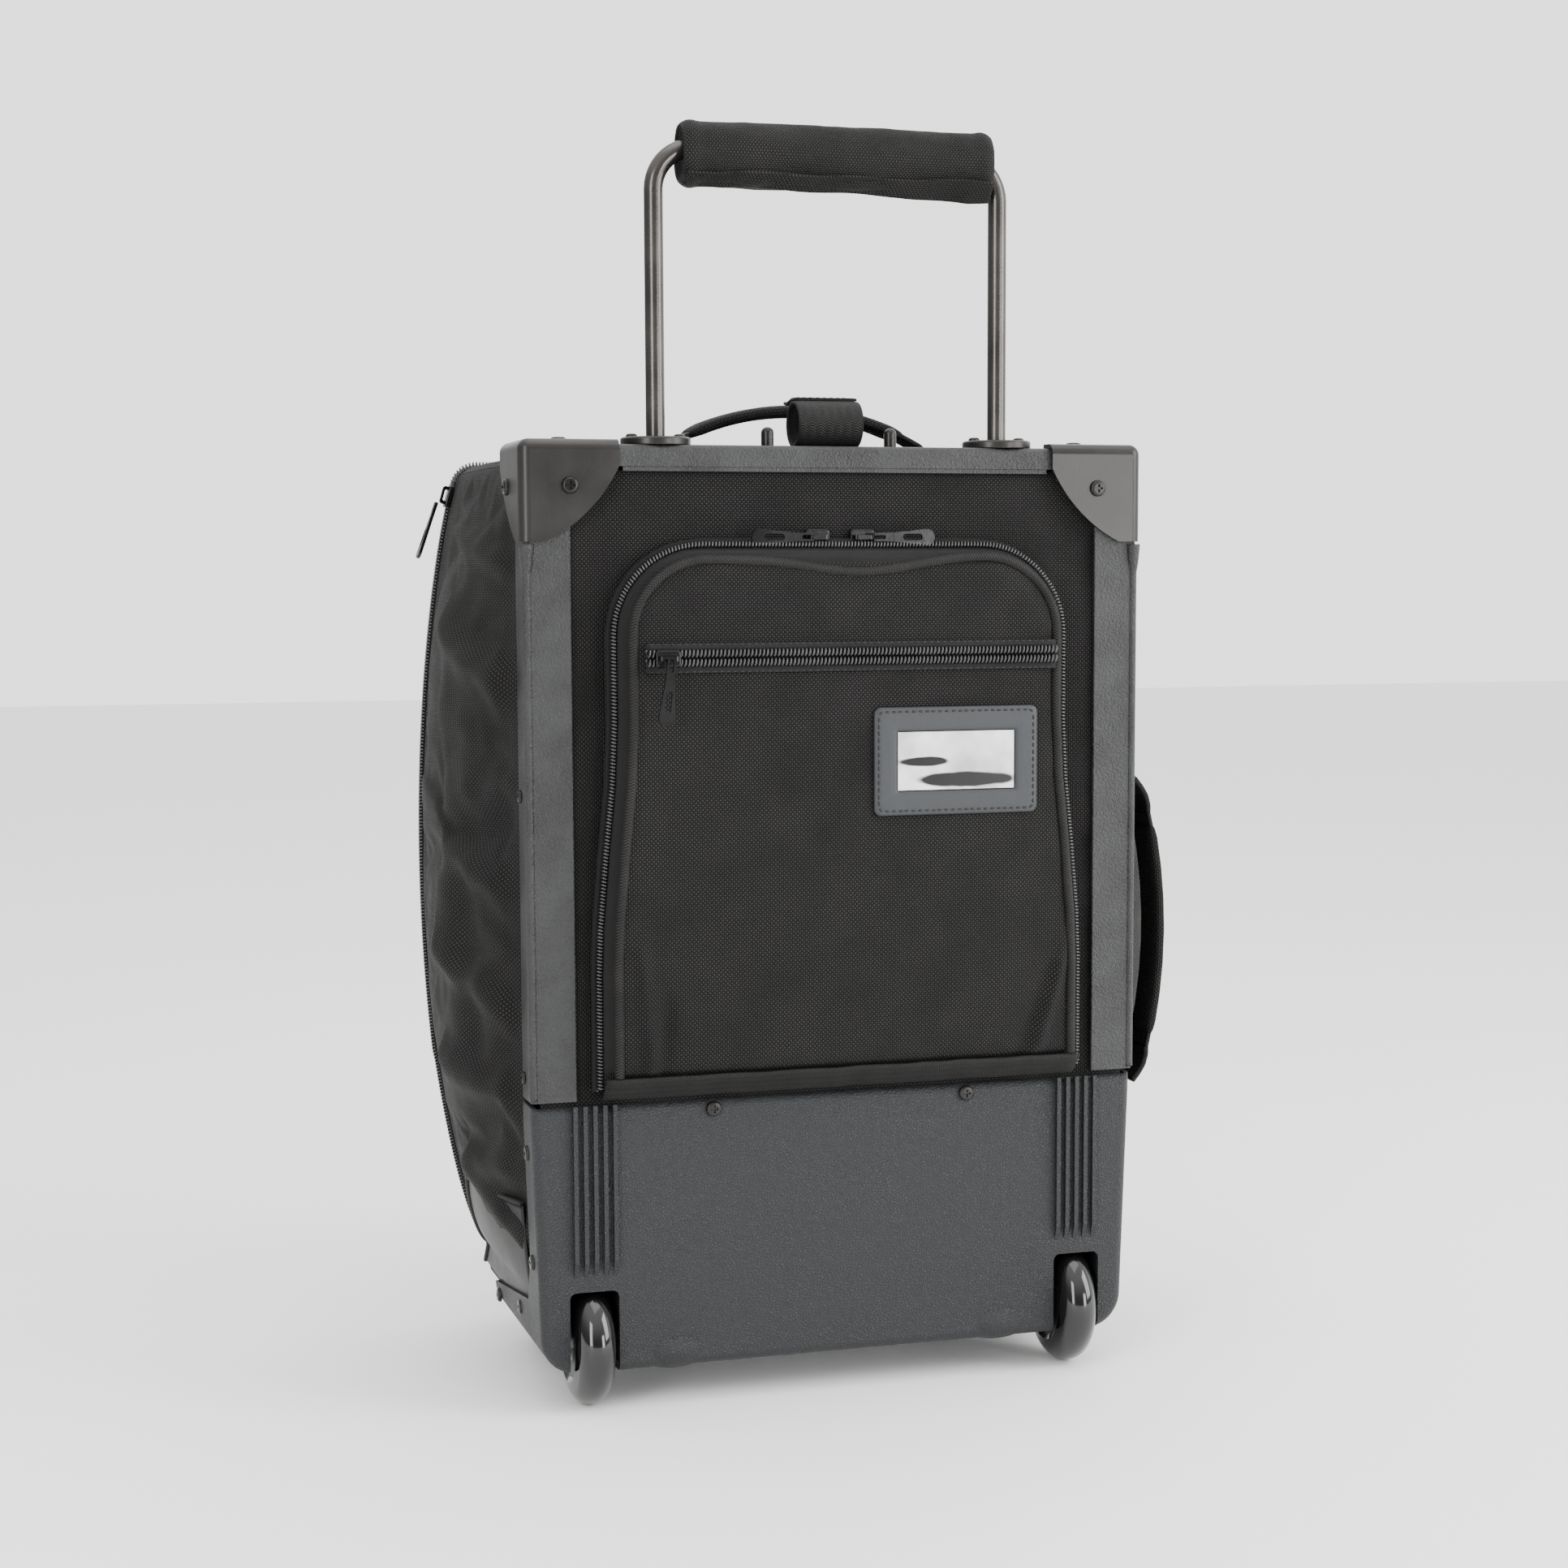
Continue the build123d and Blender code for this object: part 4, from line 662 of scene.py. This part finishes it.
# the cross zip
cross = np.stack([np.linspace(-115.5, 122, 120), np.full(120, FLAP_Y - 0.5), np.full(120, CROSS_Z)], 1)
zip_tape = sweep("cross_zip_tape", cross, oval(8.2, 0.55, 20, 5), tape, "pocket_flap", step=4)
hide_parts("cross_zip")
for row, dz in (("lower", -2.5), ("upper", 2.5)):
    coil(f"cross_zip_{row}_coil", cross + (0, -1.2, dz), 1.9, 1.4, 2.2, 0.75, "pocket_flap")
rail = [cross + (0, -0.5, dz) for dz in (-7.4, 7.4)]
stitches("cross_zip_stitches", rail, "pocket_flap")

# the identity frame: thin leather with rounded edges round its window, and its stitching
def round_rect(half_x, half_z, corner, count=8):
    """A rounded rectangle about the identity frame's centre."""
    points = []
    for sx, sz, start in ((1, 1, 0), (-1, 1, 90), (-1, -1, 180), (1, -1, 270)):
        for a in np.linspace(start, start + 90, count):
            t = math.radians(a)
            points.append((ID_X + sx * (half_x - corner) + corner * math.cos(t),
                           ID_Z + sz * (half_z - corner) + corner * math.sin(t)))
    return np.array(points)


levels = [(0.0, 0.0), (0.0, 1.0), (0.5, 1.7), (1.4, 2.0), (5.0, 2.2), (8.5, 2.1), (11.8, 2.2), (13.0, 1.9),
          (13.5, 1.2), (13.5, 0.0)]
rings = []
for inset, high in levels:
    loop = round_rect(ID_HALF[0] - inset, ID_HALF[1] - inset, 4.0 - inset * 0.2)
    rings.append(np.stack([loop[:, 0], np.full(len(loop), FLAP_Y + 0.2 - high), loop[:, 1]], 1))
rings = np.array(rings)
faces = grid_faces(len(rings), rings.shape[1], wrap=True)
last, count = (len(rings) - 1) * rings.shape[1], rings.shape[1]
faces += [(last + j, last + (j + 1) % count, (j + 1) % count, j) for j in range(count)]
leather_frame = make("id_frame_leather", rings.reshape(-1, 3), faces, leather, "pocket_flap",
                     rings.reshape(-1, 3)[:, [0, 2]])
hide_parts("id_frame")
loop = round_rect(ID_HALF[0] - SEAM_INSET, ID_HALF[1] - SEAM_INSET, 3.0)
stitches("id_frame_stitches", [on_rear(np.r_[loop, loop[:1]], FLAP_Y - 1.95)], "pocket_flap",
         width=0.6)

# ---- lid, main zip, top and bottom ----------------------------------------------------
def front_line(inset, low, count=60):
    """The lid's outline from its lower left corner over the top to its lower right."""
    top, corner = BODY_TOP - inset, 14.0 - inset * 0.4
    z = np.linspace(low, top - corner, count)
    x = tuck(z) - 0.4 + swell(z, ZIP_SWELL) - inset
    a = np.linspace(0, math.pi / 2, 10)[1:]
    arc_x = x[-1] - corner + corner * np.cos(a)
    arc_z = top - corner + corner * np.sin(a)
    half_line = np.r_[np.stack([x, z], 1), np.stack([arc_x, arc_z], 1), [[0.0, top]]]
    return np.r_[half_line * (-1, 1), half_line[::-1][1:]]


border_path = on_rear(front_line(1.5, LID_LOW + 1.5), 101.6)
lid_border = sweep("lid_border_cloth", np.r_[border_path, border_path[:1]], oval(1.6, 3.0, 14, 4), nylon,
                   "lid", step=5)
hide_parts("lid_border")
outline = front_line(0.0, LID_LOW)
closed = np.r_[outline, outline[:1]]
rows, cols = 124, 100
levels = np.linspace(LID_LOW, BODY_TOP, rows)
right_half = outline[len(outline) // 2:][::-1]
reach = np.interp(levels, right_half[:, 1], right_half[:, 0])
z = np.repeat(levels[:, None], cols, 1)
x = spread[np.linspace(0, len(spread) - 1, cols).astype(int)][None, :] * reach[:, None]
flat = np.stack([x, z], -1).reshape(-1, 2)
deep = distance_to(flat, closed)
depth = np.sqrt(np.clip(1 - (1 - np.clip(deep / 13.0, 0, 1)) ** 2, 0, 1))
solid = np.stack([flat[:, 0], np.zeros(len(flat)), flat[:, 1]], 1)
puff = (wander(solid, 80.0, 3.0, 2.0) + wander(solid, 24.0, 1.0, 6.0)) * np.clip(deep / 20, 0, 1)
puff = 3.0 * np.clip(deep / 110, 0, 1) + puff
points = np.stack([flat[:, 0], LID_EDGE_Y + LID_CROWN * depth + puff, flat[:, 1]], 1)
lid = make("lid_cloth", points, [f[::-1] for f in grid_faces(rows, cols)], nylon, None,
           flat)
crumple(lid, deep < 8, 0.012, cap=4.0)
thicken(lid, 2.4)
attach(lid, "lid")
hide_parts("lid_panel")
loop = on_rear(front_line(0.6, LID_LOW + 0.6), 105.2)
sweep("lid_piping", np.r_[loop, loop[:1]], oval(2.0, 2.0, 10, 2), braid, "lid")

main_tape = sweep("main_zip_tape", on_rear(front_line(1.6, LID_LOW), 95.95), oval(1.3, 2.0, 12, 5), tape,
                  "case")
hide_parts("main_zip")
coil("main_zip_coil", on_rear(front_line(-0.9, LID_LOW), 95.6), 1.7, 1.9, 2.0, 0.65, "case")
sweep("body_zip_seam", on_rear(front_line(0.9, LID_LOW), 90.8), oval(1.3, 3.0, 10, 3), tape, "case")

# the top panel
rows, cols = 44, 110
top_back, top_front = -52.8, 93.4
y, u = np.meshgrid(np.linspace(top_back, top_front, rows), np.sin(np.linspace(-1, 1, cols) * math.pi / 2),
                   indexing="ij")
reach = side_surface(1, (y - BACK_Y) / (ZIP_Y - BACK_Y), np.full_like(y, PANEL_TOP))[..., 0] - 0.6
x = u * reach
drop_z = 4.6 * np.clip((np.abs(x) - reach + 9) / 9, 0, 1) ** 2
points = np.stack([x, y, 529.8 - drop_z], -1).reshape(-1, 3)
inside = np.minimum(np.minimum(y - top_back, top_front - y), 170 - np.abs(x)).ravel()
rim = np.clip(inside / 14, 0, 1)
anchor = np.exp(-((np.abs(points[:, 0]) - 84) / 16) ** 2 - ((points[:, 1] + 5) / 16) ** 2)
ease = wander(points, 40.0, 1.6) + wander(points, 14.0, 0.6) - 0.8 * (1 - anchor)
points[:, 2] += rim * ease * (1 - anchor)
top = make("top_panel_cloth", points, grid_faces(rows, cols), nylon, "case", points[:, :2])
thicken(top, 2.2)
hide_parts("top_panel")

# the bottom panel, which turns up behind the lid
angle = np.linspace(0, math.pi / 2, 14)
profile = np.r_[np.stack([np.linspace(-91.6, 64, 40), np.full(40, BOTTOM_Z)], 1),
                np.stack([65.8 + BOTTOM_BEND * np.sin(angle), 60 - BOTTOM_BEND * np.cos(angle)], 1)]
rows, cols = len(profile), 84
x = np.linspace(-1, 1, cols) * BOTTOM_HALF
points = np.array([(px, py, pz) for py, pz in profile for px in x])
rim = np.clip((BOTTOM_HALF - np.abs(points[:, 0])) / 12, 0, 1)
points[:, 2] += rim * (0.8 + wander(points, 30.0, 0.8))
centre_y = np.repeat(((profile[:-1, 0] + profile[1:, 0]) / 2)[:, None], cols - 1, 1)
centre_x = np.repeat(((x[:-1] + x[1:]) / 2)[None, :], rows - 1, 0)
drop = (centre_y < NOTCH_Y + 3) & (np.abs(centre_x) > NOTCH_X - 3)
bottom = make("bottom_panel_cloth", points, [f[::-1] for f in grid_faces(rows, cols, drop=drop)], nylon,
              "case", points[:, :2])
thicken(bottom, 2.2)
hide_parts("bottom_panel")
# the fabric hinge along the lid's lower edge
strip_x = np.linspace(-165, 165, 60)
ring = np.array([(91.0, 57.0), (94.4, 58.6), (97.6, 60.0), (100.4, 62.6), (103.0, 66.0)])
strip = np.array([(px, py, pz + 0.3 * math.sin(px * 0.2)) for py, pz in ring for px in strip_x])
lid_hinge = make("lid_hinge_band", strip, [f[::-1] for f in grid_faces(len(ring), len(strip_x))], webbing,
                 None, np.array([(px, 4.0 * k) for k in range(len(ring)) for px in strip_x]))
thicken(lid_hinge, 1.2)
bake(lid_hinge)
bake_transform(lid_hinge)

# ---- trolley handle's grip ------------------------------------------------------------
rows, cols = 96, 64
share = np.linspace(0, 1, rows)
angle = np.linspace(0, 2 * math.pi, cols, endpoint=False)
points, cloth = [], []
for k, t in enumerate(share):
    x = GRIP_LEFT + (GRIP_RIGHT - GRIP_LEFT) * t
    end = min(t, 1 - t) * (GRIP_RIGHT - GRIP_LEFT)
    round_in = 1 - 0.16 * max(0, 1 - end / 5.0) ** 2
    bound = 1.0 + 0.05 * math.exp(-((end - 7) / 3.0) ** 2)
    for a in angle:
        c, s = math.cos(a), math.sin(a)
        ny, nz = math.copysign(abs(c) ** 0.86, c), math.copysign(abs(s) ** 0.86, s)
        size = round_in * bound
        lump = 0.9 * noise.noise(Vector((x * 0.03, ny * 1.3, nz * 1.3)))
        lump += 0.35 * noise.noise(Vector((x * 0.11, ny * 3, nz * 3)))
        lump += 0.9 if a > math.pi * 1.28 else 0.0
        points.append((x, ROD_Y + ny * (GRIP_DEPTH * size + lump), GRIP_Z + nz * (GRIP_HEIGHT * size + lump)))
        cloth.append((x, a * 15.0))
faces = grid_faces(rows, cols, wrap=True)
for end, x, flip in ((0, -84.5, True), (rows - 1, 93.5, False)):
    base = len(points)
    for scale, dx in ((0.8, 0.0), (0.74, 2.5), (0.5, 2.5), (0.44, 1.0)):
        for a in angle:
            c, s = math.cos(a), math.sin(a)
            points.append((x + (dx if flip else -dx), ROD_Y + GRIP_DEPTH * scale * c,
                           GRIP_Z + GRIP_HEIGHT * scale * s))
            cloth.append((scale * 20, a * 15.0))
    ring = [[start + j for j in range(cols)] for start in (end * cols, *(base + r * cols for r in range(4)))]
    for r in range(4):
        for j in range(cols):
            quad = (ring[r][j], ring[r][(j + 1) % cols], ring[r + 1][(j + 1) % cols], ring[r + 1][j])
            faces.append(quad[::-1] if flip else quad)
    faces.append(tuple(ring[4]) if not flip else tuple(ring[4][::-1]))
grip = make("handle_grip_wrap", points, [f[::-1] for f in faces], grip_nylon, None, cloth)
mod = grip.modifiers.new("smooth", "SUBSURF")
mod.levels = mod.render_levels = 1
bake(grip)
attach(grip, "handle")
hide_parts("handle_grip")
# the wrap's loose lap, hanging below the grip
rows, cols = 12, 90
z, x = np.meshgrid(np.linspace(0, 1, rows), np.linspace(-84, 93, cols), indexing="ij")
sag = np.interp(x, (-84, -20, 40, 80, 93), (1.0, 2.5, 3.5, 6.5, 5.0))
points = np.stack([x, ROD_Y - 11.6 + z * 9.0 + 1.0 * np.sin(x * 0.05), GRIP_Z - 10.5 - z * (4.5 + sag)
                   + 0.6 * np.sin(x * 0.11)], -1).reshape(-1, 3)
points[:, 1] += wander(points, 18.0, 0.9)
lap = make("handle_grip_lap", points, grid_faces(rows, cols), grip_nylon, "handle",
           points[:, [0, 2]])
thicken(lap, 1.8)
lap_edge = points.reshape(rows, cols, 3)[-1]
sweep("grip_lap_edge", lap_edge, oval(1.3, 1.3, 8, 2), braid, "handle")

# ---- carry handles and straps ---------------------------------------------------------
a_half = math.radians(29.5)
arc = np.linspace(-a_half, a_half, 60)
radius = CARRY_HALF / math.sin(a_half)
centre_z = CARRY_BASE + CARRY_RISE - radius - 3.0
loop = np.stack([radius * np.sin(arc), np.full(60, CARRY_Y), centre_z + radius * np.cos(arc)], 1)
strap = sweep("carry_handle_strap", loop, oval(10.4, 1.6, 20, 6), webbing, "carry_handle",
              hint=(0, 0, 1))
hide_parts("carry_handle")
sleeve_path = loop[5:-5]


def plump(share):
    """The size of a padded sleeve along its length, drawn in at its ends."""
    end = min(share, 1 - share)
    rise = min(1.0, end / 0.06) ** 0.5
    return (0.93 + 0.07 * rise + 0.012 * math.sin(share * 41), 0.62 + 0.38 * rise)


sleeve = sweep("carry_handle_sleeve", sleeve_path, oval(12.2, 3.6, 28, 3.0), nylon, "carry_handle",
               hint=(0, 0, 1), step=2.0, scale=plump)
stitches("carry_handle_stitches", [sleeve_path[3:-3] + (0, dy, 2.9) for dy in (-8.8, 8.8)], "carry_handle",
         out=(0, 0, 1))
for side, s in SIDES:
    path = np.array([(s * x, CARRY_Y, z) for x, z in
                     ((74.0, 540.5), (76.6, 538.5), (77.8, 535.5), (79.4, 532.6), (84, 531.4), (94, 531.2))])
    dense = np.stack([np.interp(np.linspace(0, 5, 40), range(6), path[:, k]) for k in range(3)], 1)
    sweep(f"{side}_carry_anchor", dense, oval(10.6, 1.3, 18, 6), webbing, "case",
                         hint=(0, 0.0001, 1), step=1.5)
    seams = [np.array([(s * 83, y, 532.7), (s * 93, y, 532.6)]) for y in (-13, -5, 3)]
    seams += [np.array([(s * x, -14, 532.7), (s * x, 4, 532.7)]) for x in (84, 92)]
    stitches(f"{side}_carry_anchor_stitches", seams, "case", thread, out=(0, 0, 1))
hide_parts("carry_anchors")

# the side handle
share = np.linspace(-1, 1, 60)
bow = SIDE_INNER + 3.75 + SIDE_RISE * (1 - share ** 2)
loop = np.stack([bow, np.full(60, SIDE_Y), SIDE_Z + SIDE_LENGTH * share], 1)
sweep("side_handle_strap", loop, oval(11.5, 1.5, 20, 6), webbing, "side_handle", hint=(1, 0, 0))
sleeve = sweep("side_handle_sleeve", loop[4:-4], oval(12.6, 3.7, 28, 3.0), nylon, "side_handle",
               hint=(1, 0, 0), step=2.0, scale=plump)
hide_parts("side_handle")
stitches("side_handle_stitches", [loop[6:-6] + (3.0, dy, 0) for dy in (-9, 9)], "side_handle",
         out=(1, 0, 0))
for tag, way in (("lower", -1), ("upper", 1)):
    z_end = SIDE_Z + way * SIDE_LENGTH
    path = np.array([(x, SIDE_Y, z_end + way * dz) for x, dz in
                     ((205.2, -1.0), (205.2, 3), (203.6, 9), (200.5, 14), (196.5, 19))])
    dense = np.stack([np.interp(np.linspace(0, 4, 30), range(5), path[:, k]) for k in range(3)], 1)
    piece = sweep(f"{tag}_side_anchor", dense, oval(12.0, 1.8, 18, 6), webbing, "case",
                  hint=(1, 0, 0), step=1.5)
    if way > 0:
        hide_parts("side_anchors")

# the hitch strap: a loop of webbing whose loose end lies over its top
angle = np.linspace(0, 2 * math.pi, 100) - 1.9
loop = np.stack([np.full(100, 1.0), ROD_Y + 11 + 12.3 * np.cos(angle),
                 BAR_TOP + 13.45 + 12.0 * np.sin(angle)], 1)
outward = np.stack([np.zeros(100), np.cos(angle), np.sin(angle)], 1)
rings = len(resample(loop, 2.0)[1])
hitch = sweep("hitch_strap_loop", loop, oval(19.0, 1.1, 22, 7), webbing, "case",
              hint=outward[np.linspace(0, 99, rings).astype(int)], step=2.0)
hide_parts("hitch_strap")

tail = np.array([(1.0, y, z) for y, z in
                 ((-66.0, 562.2), (-60.0, 562.6), (-54.0, 561.6), (-48.5, 560.4), (-44.0, 561.2))])
sweep("hitch_strap_tail", tail, oval(18.4, 1.0, 22, 7), webbing, "case", hint=(0, 0, 1), step=2.0)
ends = [np.array([(x, y, z), (x + 34, y, z)]) for x, y, z in ((-16, -58.5, 563.6), (-16, -55.0, 563.1))]
stitches("hitch_strap_stitches", ends, "case", thread, out=(0, 0, 1))

# ---- floor and light ------------------------------------------------------------------
floor_mesh = bpy.data.meshes.new("floor")
FLOOR_HALF = 9.0
floor_mesh.from_pydata([(x * FLOOR_HALF, y * FLOOR_HALF, 0) for x, y in ((-1, -1), (1, -1), (1, 1), (-1, 1))],
                       [], [(0, 1, 2, 3)])
floor = bpy.data.objects.new("floor", floor_mesh)
bpy.context.scene.collection.objects.link(floor)
floor_paint = Nodes("floor_paint")
floor_mesh.materials.append(floor_paint.set(Base_Color=(0.93, 0.93, 0.92, 1), Roughness=floor_paint.ramp(
    floor_paint.noise(3.0), 0.3, 0.7, 0.6, 0.75)))


def softbox(name, place, target, width, height, power):
    """A rectangular studio light."""
    light = bpy.data.lights.new(name, "AREA")
    light.shape, light.size, light.size_y, light.energy = "RECTANGLE", width, height, power
    lamp = bpy.data.objects.new(name, light)
    bpy.context.scene.collection.objects.link(lamp)
    lamp.location = place
    lamp.rotation_euler = (Vector(target) - Vector(place)).to_track_quat("-Z", "Y").to_euler()


softbox("key_right", (2.0, -1.3, 1.2), (0, 0, 0.3), 1.2, 1.8, 70)
softbox("fill_left", (-1.7, -1.75, 0.9), (0, 0, 0.3), 0.6, 1.7, 38)
softbox("top", (0.1, -0.2, 2.4), (0, 0, 0.3), 1.8, 1.8, 24)
softbox("glint", (1.2, -2.3, 0.42), (0.06, -0.1, 0.36), 0.6, 0.9, 26)
world = bpy.data.worlds.new("world")
bpy.context.scene.world = world
world.use_nodes = True
sky = world.node_tree
backdrop = sky.nodes["Background"]
backdrop.inputs[0].default_value = (1, 1, 1, 1)
heading = sky.nodes.new("ShaderNodeTexCoord").outputs["Generated"]
SKY_DIM, SKY_BRIGHT = 0.4, 2.2


def glow(direction, low, high):
    """A sky strength that rises from dim to bright towards a direction."""
    along = sky.nodes.new("ShaderNodeVectorMath")
    along.operation = "DOT_PRODUCT"
    along.inputs[1].default_value = direction
    sky.links.new(heading, along.inputs[0])
    strength = sky.nodes.new("ShaderNodeMapRange")
    strength.interpolation_type = "SMOOTHSTEP"
    for index, value in ((1, low), (2, high), (3, SKY_DIM), (4, SKY_BRIGHT)):
        strength.inputs[index].default_value = value
    sky.links.new(along.outputs["Value"], strength.inputs[0])
    return strength.outputs[0]


# bright behind the photographed view and above, grey elsewhere
brighter = sky.nodes.new("ShaderNodeMath")
brighter.operation = "MAXIMUM"
sky.links.new(glow((0.766, 0.643, 0.0), 0.52, 0.62), brighter.inputs[0])
sky.links.new(glow((0.0, 0.0, 1.0), 0.1, 0.85), brighter.inputs[1])
sky.links.new(brighter.outputs[0], backdrop.inputs[1])

bpy.context.view_layer.update()
